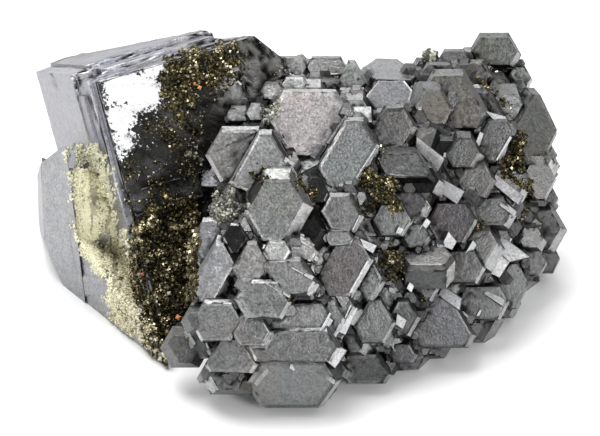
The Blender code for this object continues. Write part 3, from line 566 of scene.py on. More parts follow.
LEFT_POCKET = [
    (-15.1, 7.0), (-13.4, 6.5), (-13.7, 4.2), (-11.7, 2.7), (-10.3, 2.2), (-11.4, 0.5), (-12.9, 0.2),
    (-14.6, -1.3), (-16.3, -1.3), (-18.0, 0.5), (-18.3, 3.0), (-17.4, 4.7), (-15.7, 5.9),
]
GOLD_TUFT = [(-9.8, 9.0), (-8.4, 9.3), (-6.2, 9.2), (-5.8, 8.0), (-7.4, 7.0), (-8.8, 7.6)]
GAP_TUFT = [(-1.6, 9.4), (0.6, 9.0), (3.0, 6.6), (3.4, 4.2), (1.8, 3.8), (-0.2, 5.6), (-1.4, 7.6)]
EDGE_TUFT = [(34.6, -0.4), (36.6, -0.6), (36.8, -3.0), (34.8, -3.2)]
FAR_TUFT = [(42.8, 0.2), (44.8, 0.0), (44.8, -2.4), (43.0, -2.2)]
RIDGE_TUFT = [(35.1, 27.9), (39.1, 25.6), (41.1, 21.6), (42.0, 20.5), (40.0, 23.9), (36.6, 26.7)]
PALE_CORNER = [(-7.7, 23.4), (-4.1, 23.7), (-4.0, 21.5), (-6.5, 17.7), (-8.3, 19.4)]
PALE_EDGE = [(-22.6, 13.6), (-21.0, 13.0), (-19.4, 11.2), (-20.0, 10.8), (-21.8, 12.0)]
BARE_AND_GLARE_FRONT = [
    (-41.4, 27.1), (-39.1, 28.3), (-35.4, 29.1), (-32.3, 30.0), (-28.3, 32.0), (-26.6, 32.9), (-25.1, 32.3),
    (-25.4, 30.3), (-28.3, 28.6), (-27.1, 25.4), (-27.4, 23.4), (-28.9, 22.0), (-31.1, 21.4), (-32.9, 20.9),
    (-32.6, 19.1), (-33.4, 17.4), (-34.3, 13.7), (-35.7, 12.9), (-36.9, 13.7), (-37.7, 17.4), (-38.9, 20.9),
    (-39.7, 23.1), (-39.7, 26.0),
]

# Cracks and ledge shadows of the block, across and up, each with its half width in millimetres
CRACKS = [
    (0.22, [(-44.3, 28.3), (-42.3, 24.3), (-41.4, 22.0), (-40.0, 18.6), (-39.1, 16.3), (-38.3, 12.3)]),
    (0.12, [(-45.1, 27.7), (-44.3, 23.4)]),
    (0.10, [(-49.6, 29.0), (-48.6, 26.0)]),
    (0.12, [(-40.3, 24.0), (-38.7, 19.4), (-37.0, 13.6), (-36.0, 9.0)]),
    (0.15, [(-45.6, 28.3), (-42.6, 29.7), (-39.1, 31.9), (-35.7, 32.7)]),
    (0.13, [(-43.4, 27.7), (-40.6, 28.6), (-38.0, 30.7), (-33.7, 32.7)]),
    (0.10, [(-41.6, 28.0), (-37.4, 29.8), (-33.0, 30.6), (-29.0, 32.6)]),
    (0.10, [(-50.4, 30.6), (-45.0, 33.0), (-39.0, 34.4), (-31.0, 35.4)]),
    (0.12, [(-35.7, 12.9), (-32.6, 14.6), (-29.1, 15.1)]),
    (0.35, [(-35.1, 4.6), (-31.1, 6.0), (-26.6, 7.7), (-24.6, 8.6)]),
    (0.35, [(-33.1, 0.3), (-30.3, 1.1), (-28.3, 2.6)]),
    (0.12, [(-36.6, 8.6), (-34.8, 4.0), (-33.0, -3.0), (-31.6, -8.0)]),
]


def crack(across, up):
    """How much of a crack of the block lies at a place of the display side, from 0 to 1."""
    if across > -22 or up < -9:
        return 0.0
    wander = noise.fractal(Vector((across * 0.9, up * 0.9, 2.0)), 1.0, 2.0, 3) * 0.55
    deepest = 0.0
    for width, line in CRACKS:
        for (x0, y0), (x1, y1) in zip(line, line[1:]):
            run, rise = x1 - x0, y1 - y0
            part = limited(((across - x0) * run + (up - y0) * rise) / (run * run + rise * rise))
            away = math.hypot(across - x0 - part * run + wander, up - y0 - part * rise + wander)
            deepest = max(deepest, limited(1.6 - away / width / 1.6))
    return deepest * limited(0.75 + 2.5 * noise.noise(Vector((across * 0.5, up * 0.5, 9.0))), 0.15)


def rim_distance(outline, across, up):
    """How far inside an outline a point lies, negative outside it."""
    inside, nearest = False, 1e9
    for (x0, y0), (x1, y1) in zip(outline, outline[1:] + outline[:1]):
        if (y0 > up) != (y1 > up) and across < x0 + (up - y0) * (x1 - x0) / (y1 - y0):
            inside = not inside
        run, rise = x1 - x0, y1 - y0
        part = limited(((across - x0) * run + (up - y0) * rise) / (run * run + rise * rise))
        nearest = min(nearest, math.hypot(across - x0 - part * run, up - y0 - part * rise))
    return nearest if inside else -nearest


# Kinds of galena faces, which are also the numbers of their materials
CRYSTALS, BLOCK_SIDES, BLOCK_FRONT, SLAB, CRUST_BED = range(5)


def region(point, normal):
    """Which kind of face lies at a place; the bed of the crust is told apart later."""
    back, right, down = in_block(point)
    across, _, out = display_of(point)
    if -1.0 < back < 1.6 and 2.2 < right < 33 and normal.dot(FRONT) > 0.9:
        return BLOCK_FRONT
    if -1.0 < right < 1.6 and back > -1 and normal.dot(LEFT) > 0.9:
        return BLOCK_SIDES
    if down < 1.6 and normal.dot(TOP) > 0.9 and right < 36:
        return BLOCK_SIDES
    if point.z < 0.040 and right < -2.5:
        return SLAB
    if back > -0.5 and -0.8 < right < 38 and down > -0.8 and across < -16:
        return BLOCK_SIDES
    if back > 3 and right < 40 and out < -24 and across < -6:
        return BLOCK_SIDES
    return BLOCK_SIDES if back > -0.8 and across < -18 else CRYSTALS


def relief(point, normal, kind):
    """How far a point of the galena stands proud, in millimetres."""
    spot = point / MM
    if kind == CRYSTALS:
        return noise.fractal(spot * 0.9, 1.0, 2.1, 3) * 0.03
    back, right, down = in_block(point)
    if kind == BLOCK_FRONT:
        broad = noise.fractal(Vector((right * 0.10, down * 0.34, 3.0)), 1.0, 2.0, 3)
        steps = math.floor(broad * 5) / 5
        rough = noise.fractal(spot * 0.75, 0.9, 2.1, 4)
        pit = min(noise.noise(spot * 0.55) + 0.12, 0.0)
        return steps * 0.30 + rough * 0.16 + pit * 0.7
    if kind in (BLOCK_SIDES, CRUST_BED):
        if normal.dot(TOP) > 0.9:
            broad = noise.fractal(Vector((right * 0.10 + back * 0.04, back * 0.22, 7.0)), 1.0, 2.0, 3)
        else:
            broad = noise.fractal(Vector((back * 0.30 + down * 0.05, down * 0.05, 11.0)), 1.0, 2.0, 3)
        steps = math.floor(broad * 6) / 6
        ledge = 0.35 if normal.dot(TOP) > 0.9 else 0.05
        return steps * ledge + noise.fractal(spot * 0.8, 1.0, 2.0, 3) * 0.08
    return noise.fractal(spot * 0.12, 1.0, 2.0, 3) * 0.35 + noise.fractal(spot * 0.8, 1.0, 2.0, 2) * 0.03


# Front faces that differ from the rest: across, up, how far each reaches, and the factors of its colour
OWN_TONES = [
    (2.4, 20.0, 4.5, (1.25, 1.16, 1.17)), (-10.0, 13.6, 5.0, (1.0, 1.0, 0.98)),
    (-5.0, 4.0, 4.0, (1.0, 1.03, 1.0)), (10.0, 13.0, 3.5, (0.95, 0.99, 0.98)),
    (17.6, 17.0, 3.5, (1.05, 1.05, 1.05)), (30.0, 22.0, 4.5, (0.95, 0.9, 0.82)),
    (34.6, 17.0, 3.5, (0.78, 0.74, 0.78)), (9.0, 4.6, 3.5, (0.85, 0.84, 0.76)),
    (9.4, -11.4, 3.5, (0.85, 0.80, 0.80)), (-5.4, -6.6, 4.0, (1.15, 1.15, 1.12)),
    (-9.0, -15.6, 3.6, (0.9, 0.9, 0.9)), (0.0, -24.0, 5.0, (1.0, 1.0, 1.0)),
    (-1.0, -34.0, 5.0, (0.85, 0.87, 0.86)), (25.6, -14.6, 4.5, (1.0, 1.0, 1.0)),
    (23.0, 4.0, 3.5, (0.9, 0.89, 0.95)), (30.0, -0.6, 3.5, (0.75, 0.70, 0.74)),
    (15.0, -23.0, 5.0, (0.9, 0.92, 0.9)), (24.0, -24.0, 5.0, (1.05, 1.03, 1.08)),
    (40.6, -1.0, 3.6, (1.3, 1.3, 1.36)), (-18.0, -6.0, 3.6, (1.35, 1.35, 1.42)),
    (-16.0, -13.0, 3.6, (1.3, 1.3, 1.34)), (40.4, 29.6, 4.0, (0.95, 1.0, 0.93)),
    (-18.6, 19.0, 3.0, (1.1, 1.12, 1.05)), (50.0, 14.0, 5.0, (1.0, 1.03, 0.98)),
    (18.0, 24.6, 3.2, (0.45, 0.45, 0.47)), (27.0, 22.4, 2.8, (0.40, 0.38, 0.34)),
]

# Deep gaps between the crystals on the display side, where next to no light gets in
DEEP_GAPS = [
    [
        (-5.4, 15.3), (-2.3, 14.7), (-1.1, 13.3), (-0.9, 12.2),
        (-2.3, 12.2), (-4.0, 13.0), (-5.7, 15.6), (-6.9, 18.2),
    ],
    [(1.1, 9.9), (3.4, 9.0), (4.6, 7.3), (5.7, 5.3), (4.9, 4.2), (3.4, 3.3), (2.6, 5.0), (1.7, 6.5)],
    [(2.9, 3.0), (4.9, 3.0), (4.6, 0.2), (3.4, -2.7), (4.6, -5.5), (2.9, -4.1), (1.1, -2.1), (1.7, 0.7)],
    [(-9.7, 7.9), (-7.7, 7.3), (-8.6, 4.7), (-9.4, 2.7), (-9.7, 5.3)],
    [(12.8, 23.0), (16.0, 23.3), (18.8, 22.5), (18.2, 21.9), (14.6, 21.6), (13.2, 20.2)],
    [(-14.6, -2.0), (-12.8, -2.6), (-12.6, -8.4), (-14.0, -9.4)],
    [
        (22.6, 19.3), (25.7, 16.5), (29.1, 15.3), (30.3, 16.5),
        (28.9, 13.9), (28.0, 13.0), (26.3, 14.7), (24.0, 17.0),
    ],
    [(19.4, 8.2), (28.0, 8.7), (28.6, 10.2), (27.7, 7.0), (25.1, 6.9), (20.3, 6.7), (19.4, 5.9)],
    [(24.3, 2.4), (28.0, 1.1), (31.4, 1.5), (29.7, 0.1), (26.3, -0.1), (25.4, 0.5)],
    [(21.0, -7.4), (24.6, -7.6), (25.0, -11.0), (21.6, -11.4)],
    [(-4.0, -15.6), (-1.0, -15.6), (-1.0, -17.6), (-4.0, -17.6)],
    [(-24.0, 13.0), (-22.6, 13.6), (-20.6, 4.0), (-20.6, -20.0), (-23.0, -20.0), (-23.0, 0.0)],
]


def in_gap(across, up):
    """Whether a place of the display side lies in a deep gap or at its rim."""
    return any(rim_distance(gap, across, up) > -0.15 for gap in DEEP_GAPS)


def fall(across, up):
    """How the light falls off over the swarm, from the left and the ridge toward the lower right."""
    side = float(np.interp(across, (-10, 4, 16, 37), (2.05, 1.55, 0.88, 0.58)))
    return side * float(np.interp(up, (-30, -18, 16, 24), (0.6, 1.0, 1.0, 1.4)))


def painted_reflection(normal):
    """How bright a crystal face is drawn: partly a painted reflection, by the way the face leans on the
    display side, and partly the shine of cube faces against etched, dull octahedron faces.
    """
    lean = math.degrees(normal.angle(OUT, 0))
    bearing = math.degrees(math.atan2(normal.dot(UP), normal.dot(ACROSS))) % 360
    if not 32 < lean < 78:
        return 0.92 if lean <= 32 else 0.8
    for middle, brightness in ((330, 3.0), (210, 1.8), (90, 1.1), (30, 0.6), (270, 0.65)):
        if abs((bearing - middle + 180) % 360 - 180) < 28:
            return brightness
    return 0.9


def crusted(across, up):
    """Whether the pale crust is thick enough at a place to hide the galena under its grains."""
    run = noise.noise(Vector((across * 0.9, up * 0.10, 4.0)))
    return rim_distance(PALE_CRUST, across, up) > 0.6 and run > 0.0 and up < 10


def on_shown_block(face, kinds=(BLOCK_SIDES, BLOCK_FRONT)):
    """Whether a face is of one of the given kinds, lies at the left and is seen from the display side."""
    shown = face.normal.dot(OUT) > 0.1 and display_of(face.calc_center_median())[0] < -18
    return face.material_index in kinds and shown


# Growth steps: how wide and how high they are in metres, and the smallest face with one in square metres
STEP_WIDTHS = (0.0003, 0.0008)
STEP_HEIGHTS = (0.00005, 0.00012)
STEPPED_AREA = 7e-6

# Worn edges: how wide they are and how sharply an edge turns to have one
WORN_EDGE = 0.00009
SHARP = math.radians(18)

# Each round of meshing cuts the edges over one of these lengths in half
CUT_LENGTHS = (0.004, 0.002, 0.0011, 0.0006)


def galena_body():
    """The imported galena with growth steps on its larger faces, worn edges, and relief."""
    dice = random.Random(5)
    shape = bmesh.new()
    shape.from_mesh(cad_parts["galena"].data)
    bmesh.ops.remove_doubles(shape, verts=shape.verts, dist=3e-6)
    bmesh.ops.dissolve_limit(shape, angle_limit=math.radians(0.5), verts=shape.verts, edges=shape.edges)
    tone = shape.faces.layers.float.new("shade")
    own = shape.faces.layers.int.new("own")
    for face in shape.faces:
        face.material_index = region(face.calc_center_median(), face.normal)
    crystal_faces = [face for face in shape.faces if face.material_index == CRYSTALS]
    for face in [face for face in crystal_faces if face.calc_area() > STEPPED_AREA]:
        area, edge = face.calc_area(), face.calc_perimeter()
        thickness = dice.uniform(*STEP_WIDTHS)
        if edge * thickness > 0.42 * area:
            continue
        depth = dice.choice((-1, 1, 1)) * dice.uniform(*STEP_HEIGHTS)
        bmesh.ops.inset_individual(
            shape, faces=[face], thickness=thickness, depth=depth, use_even_offset=True,
        )
    for face in shape.faces:
        face[tone] = dice.uniform(0.80, 1.15)
        # Painted light: front-facing ledges of the block's sides are drawn lighter, against the shade that
        # falls on them
        if face.material_index == BLOCK_SIDES and face.normal.dot(FRONT) > 0.8:
            face[tone] *= 2.9
        if face.material_index == CRYSTALS:
            across, up, _ = display_of(face.calc_center_median())
            # Painted reflection by the way each face leans, and painted fall-off of the light over the swarm
            face[tone] *= painted_reflection(face.normal) * (fall(across, up) if face.normal.dot(OUT) > -0.2 else 1.0)
            for index, (x, y, reach, _) in enumerate(OWN_TONES):
                if face.normal.dot(OUT) > 0.7 and math.hypot(across - x, up - y) < reach:
                    face[own] = index + 1
            face[tone] = min(face[tone], 1.5 if up > 27 else 2.8)
            # Painted shade: small faces in the deep gaps are drawn nearly black
            if face.calc_area() < 4e-5 and in_gap(across, up):
                face[tone] *= 0.08
    paired = [edge for edge in shape.edges if len(edge.link_faces) == 2]
    bmesh.ops.bevel(
        shape, geom=[edge for edge in paired if edge.calc_face_angle(0) > SHARP], offset=WORN_EDGE,
        offset_type="OFFSET", segments=1, profile=0.7, affect="EDGES", clamp_overlap=True,
    )
    bmesh.ops.triangulate(shape, faces=shape.faces)
    for longest in CUT_LENGTHS:
        long_edges = [edge for edge in shape.edges if edge.calc_length() > longest]
        if longest == CUT_LENGTHS[-1]:
            long_edges = [edge for edge in long_edges if any(map(on_shown_block, edge.link_faces))]
        bmesh.ops.subdivide_edges(shape, edges=long_edges, cuts=1, use_grid_fill=False)
        bmesh.ops.triangulate(shape, faces=[face for face in shape.faces if len(face.verts) > 3])
    for face in shape.faces:
        across, up, _ = display_of(face.calc_center_median())
        if across < -28 and on_shown_block(face, (BLOCK_SIDES, BLOCK_FRONT, SLAB)) and crusted(across, up):
            face.material_index = CRUST_BED
        # The painted dark of the block's front is lifted toward its right end
        elif face.material_index == BLOCK_FRONT and across > -18:
            face[tone] *= 1 + 3.5 * min((across + 18) / 4, 1)
    shape.normal_update()
    moves = []
    for vertex in shape.verts:
        kinds = [face.material_index for face in vertex.link_faces]
        kind = max(set(kinds), key=kinds.count) if kinds else CRYSTALS
        keep = 0.0 if vertex.co.z < 0.0006 else 1.0
        height = relief(vertex.co, vertex.normal, kind)
        if kind in (BLOCK_SIDES, BLOCK_FRONT, CRUST_BED):
            height -= 0.35 * crack(*display_of(vertex.co)[:2])
        moves.append(vertex.normal * height * MM * keep)
    for vertex, move in zip(shape.verts, moves):
        vertex.co += move
    data = bpy.data.meshes.new("galena_body")
    shape.to_mesh(data)
    shape.free()
    return data


def add_tones(data, dice):
    """Stores each face's tone as a colour, how sheltered each corner is as painted shade with the block's
    cracks, and the patch of worn galena with painted glare.
    """
    shades = np.empty(len(data.polygons))
    data.attributes["shade"].data.foreach_get("value", shades)
    colours = np.stack([shades, shades, shades, np.ones_like(shades)], axis=1)
    if "own" in data.attributes:
        own = np.empty(len(data.polygons), dtype=np.int32)
        data.attributes["own"].data.foreach_get("value", own)
        colours[:, :3] *= np.array([(1.0, 1.0, 1.0)] + [tint for _, _, _, tint in OWN_TONES])[own]
    data.attributes.new("tone", "FLOAT_COLOR", "FACE").data.foreach_set("color", colours.ravel())
    sheltered, bare_and_glare = [], []
    for vertex in data.vertices:
        across, up, _ = display_of(vertex.co)
        # Painted shade: how much of the sky each corner loses to the specimen, with the block's cracks
        hidden = min(shelter(vertex.co, vertex.normal, dice, 0.005, 10) * 2.1, 1.0)
        if in_block(vertex.co)[0] > -0.8 and across < -22:
            hidden = max(hidden * (0.12 if across < -36 else 0.3), crack(across, up))
        sheltered.append(hidden)
        # Where the patch of worn galena with painted glare lies
        bare_and_glare.append(limited(0.5 + rim_distance(BARE_AND_GLARE_FRONT, across, up) / 4.0) if across < -20 else 0.0)
    data.attributes.new("shade_and_cracks", "FLOAT", "POINT").data.foreach_set("value", sheltered)
    data.attributes.new("bare_and_glare", "FLOAT", "POINT").data.foreach_set("value", bare_and_glare)


print("galena")
galena_data = galena_body()
add_tones(galena_data, random.Random(8))
galena = linked("galena_body", galena_data, CRYSTAL, CLEAVAGE, STAINED_AND_SHADED_FRONT, SMOOTH_SLAB, LIT_CRUST_FINISH)
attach(galena, "root")
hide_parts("galena")
print("galena", len(galena_data.polygons), "faces")


def frame_matrix(origin, facing, size, spin):
    """A matrix that stands a small body on a place."""
    stand = facing.to_track_quat("Z", "Y").to_matrix().to_4x4()
    sized = Matrix.Diagonal((size, size, size, 1))
    return Matrix.Translation(origin) @ stand @ Matrix.Rotation(spin, 4, "Z") @ sized


def lattice_matrix(origin, normal, size):
    """A matrix that turns a small crystal like its neighbours: face to the front, edges level."""
    right = (ACROSS - normal * ACROSS.dot(normal)).normalized()
    upwards = normal.cross(right)
    turn = Matrix((right, upwards, normal)).transposed().to_4x4()
    return Matrix.Translation(origin) @ turn @ Matrix.Diagonal((size, size, size, 1))


def small_crystals():
    """Small crystals that sit in the gaps between the large ones, on every side."""
    dice = random.Random(21)
    kinds = [small_crystal(dice) for _ in range(14)]
    items, kept = [], []
    for point, normal in surface_samples(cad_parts["galena"], 9000, dice):
        if point.z < 0.0015 or region(point, normal) != CRYSTALS:
            continue
        if shelter(point, normal, dice, 0.0035) < 0.45:
            continue
        if any((point - other).length < 0.0011 for other in kept[-400:]):
            continue
        kept.append(point)
        across = OUT.lerp(normal, 0.2 if normal.dot(OUT) > 0 else 0.7).normalized()
        across = tipped(across, dice, 0.06)
        size = dice.uniform(0.0012, 0.0030)
        if point.y < 0 and in_gap(*display_of(point)[:2]):
            continue
        origin = point + normal * dice.uniform(0.0001, 0.0006)
        # Painted fall-off of the light over the swarm
        light = min(fall(*display_of(point)[:2]), 1.5) if normal.dot(OUT) > -0.2 else 1.0
        kind = dice.choice(kinds)
        items.append((kind, lattice_matrix(origin, across, size), dice.uniform(0.35, 0.95) * light))
    made = scattered("small_galena_crystals", items, CRYSTAL)
    plain_tones(made.data)
    print("small crystals", len(items))
    return made


bits = small_crystals()
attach(bits, "root")


def cast_from_front(across, up, tree=GALENA_TREE):
    """What the display side shows at a place: the point and its normal."""
    eye = place(0, 0, DISPLAY_DISTANCE)
    aim = place(across, up, 0.0) - eye
    point, normal, _, _ = tree.ray_cast(eye, aim.normalized(), 2.0)
    return point, normal


# The groove at the block's foot: where it starts and ends across, at each height of the display side
FILLET_LINE = [
    (-46.9, -41.0, 10.0), (-46.7, -39.2, 5.0), (-46.4, -37.0, 0.0), (-46.0, -36.2, -4.0),
    (-45.4, -36.8, -8.0), (-44.9, -38.6, -12.0), (-44.6, -40.4, -16.4),
]


def slab_fillet():
    """The smooth galena that fills the groove between the slab and the block's foot."""
    shape = bmesh.new()
    rows = []
    last = len(FILLET_LINE) - 1
    for step in range(37):
        part = step / 36 * last
        index = min(int(part), last - 1)
        first, second = FILLET_LINE[index], FILLET_LINE[index + 1]
        share = part - index
        start, end, up = (first[k] + (second[k] - first[k]) * share for k in range(3))
        left, right = cast_from_front(start, up)[0], cast_from_front(end, up)[0]
        if left is None or right is None:
            continue
        outs = display_of(left)[2], display_of(right)[2]
        row = []
        for column in range(9):
            part = column / 8
            out = outs[0] + (outs[1] - outs[0]) * part + 0.10 * math.sin(math.pi * part)
            out += noise.noise(Vector((column * 0.6, up * 0.4, 5.0))) * 0.10 * math.sin(math.pi * part)
            row.append(place(start + (end - start) * part, up, out))
        rows.append(row)
    top = [[shape.verts.new(point) for point in row] for row in rows]
    low = [[shape.verts.new(point - OUT * 0.0015) for point in row] for row in rows]
    for i in range(len(rows) - 1):
        for j in range(8):
            shape.faces.new((top[i][j], top[i][j + 1], top[i + 1][j + 1], top[i + 1][j]))
            shape.faces.new((low[i][j], low[i + 1][j], low[i + 1][j + 1], low[i][j + 1]))
        shape.faces.new((top[i][0], top[i + 1][0], low[i + 1][0], low[i][0]))
        shape.faces.new((top[i][8], low[i][8], low[i + 1][8], top[i + 1][8]))
    for j in range(8):
        shape.faces.new((top[0][j], low[0][j], low[0][j + 1], top[0][j + 1]))
        shape.faces.new((top[-1][j], top[-1][j + 1], low[-1][j + 1], low[-1][j]))
    bmesh.ops.recalc_face_normals(shape, faces=shape.faces)
    data = bpy.data.meshes.new("slab_fillet")
    for face in shape.faces:
        face.smooth = True
        face.material_index = int(crusted(*display_of(face.calc_center_median())[:2]))
    shape.to_mesh(data)
    shape.free()
    data.attributes.new("shade_and_cracks", "FLOAT", "POINT")
    white = [1.0] * (4 * len(data.polygons))
    data.attributes.new("tone", "FLOAT_COLOR", "FACE").data.foreach_set("color", white)
    return linked("slab_fillet", data, SMOOTH_SLAB, LIT_CRUST_FINISH)


fillet = slab_fillet()
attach(fillet, "root")
SHOWN_TREE = tree_of("galena", *POCKETS, more=[fillet.data])


def coat(
    name, node, outline, per_area, coarsest, material, seed, height=0.9, streaks=0.0, ragged=1.2, light=0.0,
    finest=0.00025,
):
    """A crust of fine crystals piled on the galena inside an outline, in place of its node if it has one."""
    dice = random.Random(seed)
    across = [point[0] for point in outline]
    up = [point[1] for point in outline]
    area = (max(across) - min(across)) * (max(up) - min(up))
    items = []
    for _ in range(int(area * per_area)):
        x, y = dice.uniform(min(across) - 1, max(across) + 1), dice.uniform(min(up) - 1, max(up) + 1)
        rim = rim_distance(outline, x, y)
        patch = noise.fractal(Vector((x * 0.35, y * 0.35, seed)), 1.0, 2.0, 3)
        if rim + patch * ragged * 2 < dice.uniform(-0.4, 0.8) * ragged or patch < dice.uniform(-0.55, -0.30):
            continue
        point, normal = cast_from_front(x, y, SHOWN_TREE)
        if point is None or point.z < 0.0008:
            continue
        run = 0.0
        if streaks:
            run = noise.fractal(Vector((x * 0.9, y * 0.12, seed + 3.0)), 0.8, 2.1, 3)
            if run < streaks * dice.uniform(0.2, 1.6) - 0.45:
                continue
        full = limited(rim / 2.0 + 0.3, 0.1) * height * (0.7 + 0.6 * patch)
        size = dice.uniform(finest, coarsest)
        rise = max(dice.uniform(-0.1, 1.0) * full, 0.0) * MM
        tilt = tipped(normal, dice)
        kind = dice.choice((OCTAHEDRON, OCTAHEDRON, WEDGE, CUBE))
        # Painted light: grains that rise higher in the pile are drawn lighter, the lower ones darker as in
        # shade
        lit = dice.random() ** 1.15 * (0.55 + 0.45 * rise / MM / height)
        tone = limited(lit + patch * 0.4 + run + light)
        items.append((kind, frame_matrix(point + normal * rise, tilt, size, dice.uniform(0, ANY_SPIN)), tone))
    made = scattered(name, items, material)
    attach(made, "root")
    if node:
        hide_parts(node)
    print(name, len(items))
    return made


print("druses")
upper = coat("upper_druse_grains", "chalcopyrite_druse_upper", UPPER_DRUSE, 34, 0.0006, DRUSE, 3, light=0.16)
lower = coat("lower_druse_grains", "chalcopyrite_druse_lower", LOWER_DRUSE, 28, 0.0007, DRUSE, 5, light=0.14)
# The crust and its strands are lifted far lighter, partly as painted light
crust = coat("pale_crust_grains", "pale_crust", PALE_CRUST, 44, 0.0006, LIT_CRUST_FINISH, 7, 0.35, 0.52, 1.2, 0.5)
for name, strand in (("left_crust_strand", LEFT_STRAND), ("right_crust_strand", RIGHT_STRAND)):
    coat(name, None, strand, 40, 0.0006, LIT_CRUST_FINISH, len(name), 0.4, 0.0, 0.9, 0.85)
rim = coat("sandy_rim_grains", None, SANDY_EDGE, 24, 0.0007, SANDY_RIM, 9, 0.6, 0.0, 1.4, 0.4, 0.0003)


def heap(name, node, count, sizes, material, seed):
    """A pocket filled with fine crystals, in place of its node."""
    dice = random.Random(seed)
    items = []
    for point, normal in surface_samples(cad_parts[node], count, dice):
        size = dice.uniform(*sizes)
        tilt = tipped(normal, dice, 0.6)
        sunk = point - normal * dice.uniform(0.0, 0.0006)
        kind = dice.choice((OCTAHEDRON, OCTAHEDRON, WEDGE, CUBE))
        stand = frame_matrix(sunk, tilt, size, dice.uniform(0, ANY_SPIN))
        items.append((kind, stand, dice.random() ** 1.3))
    made = scattered(name, items, material)
    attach(made, "root")
    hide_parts(node)
    return made


for name, node, outline, material in (
    ("centre_pocket_grains", "druse_pocket_centre", CENTRE_POCKET, DRUSE),
    ("low_pocket_grains", "druse_pocket_low", LOW_POCKET, DRUSE),
    ("right_pocket_grains", "druse_pocket_right", RIGHT_POCKET, DRUSE),
    ("left_pocket_sugar", "druse_pocket_left", LEFT_POCKET, SUGAR),
    ("gold_tuft", None, GOLD_TUFT, DRUSE),
    ("gap_tuft", None, GAP_TUFT, DRUSE),
    ("edge_tuft", None, EDGE_TUFT, DRUSE),
    ("far_tuft", None, FAR_TUFT, DRUSE),
    ("ridge_tuft", None, RIDGE_TUFT, DRUSE),
    ("pale_corner", None, PALE_CORNER, SUGAR),
    ("pale_edge", None, PALE_EDGE, SUGAR),
):
    light = 0.1 if material == SUGAR else 0.08
    grains = coat(name, node, outline, 26, 0.00065, material, len(name), 0.6, 0.0, 0.5, light)
heap("calcite_grain_sugar", "calcite_grain", 500, (0.0004, 0.0009), SUGAR, 33)


# The stained part of the block's front, and gaps that hold druse, each with its middle and its spread
STAINED_FRONT = [
    (-35.0, 12.0), (-30.0, 20.0), (-27.6, 26.0), (-24.0, 31.0), (-15.0, 34.5), (-8.0, 32.0),
    (-14.0, 26.0), (-19.0, 20.0), (-21.0, 6.0), (-20.0, -8.0), (-22.0, -18.0), (-26.0, -28.5),
    (-31.0, -27.0), (-35.0, -10.0), (-36.5, 2.0),
]
STRAYS_ON_BLOCK = 2600
POCKET_STAINS = [
    ((0.6, 7.0), 1.9), ((-7.0, 9.0), 1.6), ((36.0, -1.5), 1.6), ((-2.0, -16.6), 1.4), ((41.0, 0.0), 1.8),
    ((20.5, -22.5), 1.7), ((16.0, 13.0), 2.2), ((44.5, 1.0), 2.0), ((42.0, 23.0), 1.6),
    ((18.0, -9.5), 3.6), ((44.0, 6.0), 1.7), ((24.0, -16.0), 1.5),
]


def stray_grain(point, normal, dice, darker):
    """One small druse crystal on a place; a higher number for darker makes dark ones more likely."""
    tilt = tipped(normal, dice)
    kind = dice.choice((OCTAHEDRON, WEDGE, CUBE))
    stand = frame_matrix(point, tilt, dice.uniform(0.0002, 0.0005), dice.uniform(0, ANY_SPIN))
    return kind, stand, dice.random() ** darker


def stray_grains():
    """Druse crystals scattered thinly beyond the crusts, over the stained front and in the gaps."""
    dice = random.Random(41)
    items = []
    while len(items) < STRAYS_ON_BLOCK:
        across, up = dice.uniform(-37, -6), dice.uniform(-30, 36)
        if rim_distance(STAINED_FRONT, across, up) < 0:
            continue
        thin = noise.noise(Vector((across * 0.25, up * 0.25, 2.0))) + (across + 24) * 0.03
        if thin < dice.uniform(-0.3, 0.3):
            continue
        point, normal = cast_from_front(across, up)
        if point is None or point.z < 0.001 or region(point, normal) == CRYSTALS:
            continue
        items.append(stray_grain(point, normal, dice, 1.3))
    for (across, up), spread in POCKET_STAINS:
        for _ in range(int(90 * spread)):
            point, normal = cast_from_front(dice.gauss(across, spread * 0.5), dice.gauss(up, spread * 0.5))
            if point is None or shelter(point, normal, dice) < 0.2:
                continue
            items.append(stray_grain(point, normal, dice, 1.0))
    return scattered("stray_druse_grains", items, DRUSE)


def specks():
    """Single coloured grains among the druse: across, up, size in millimetres and material."""
    dice = random.Random(43)
    for name, across, up, size, material in (
        ("orange_speck", -20.3, 26.1, 0.85, ORANGE), ("brown_speck", -21.3, 26.9, 0.6, ORANGE),
        ("red_speck", -30.6, -11.0, 0.7, RED), ("gold_speck", -27.0, 4.3, 0.9, BRIGHT_GOLD),
        ("amber_speck", -24.6, -19.8, 1.1, ORANGE), ("pale_speck", -26.4, -15.0, 0.9, SUGAR),
    ):
        point, normal = cast_from_front(across, up)
        tilt = (normal + OUT * 0.4).normalized()
        stand = frame_matrix(point + normal * 0.0009, tilt, size * MM, dice.uniform(0, ANY_SPIN))
        made = scattered(name, [(OCTAHEDRON, stand, dice.uniform(0.5, 0.9))], material)
        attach(made, "root")


specks()

# Crystals in the corner at the block's foot: across, up, size in metres, and how far each stands out
FOOT_CRYSTALS = ((-22.4, -25.4, 0.0058, 0.3), (-24.4, -22.0, 0.0028, 0.2), (-21.0, -20.4, 0.0036, 0.2))


def foot_plate():
    """Flattened crystals in the corner between the block's foot and the mound."""
    dice = random.Random(71)
    items = []
    for across, up, size, out in FOOT_CRYSTALS:
        seat = cast_from_front(across, up)[0]
        depth = display_of(seat)[2] + out if seat is not None else -8.0
        items.append((small_crystal(dice), lattice_matrix(place(across, up, depth), OUT, size), 0.75))
    made = scattered("foot_plate", items, CRYSTAL)
    plain_tones(made.data)
    return made


plate = foot_plate()
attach(plate, "root")
strays = stray_grains()
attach(strays, "root")


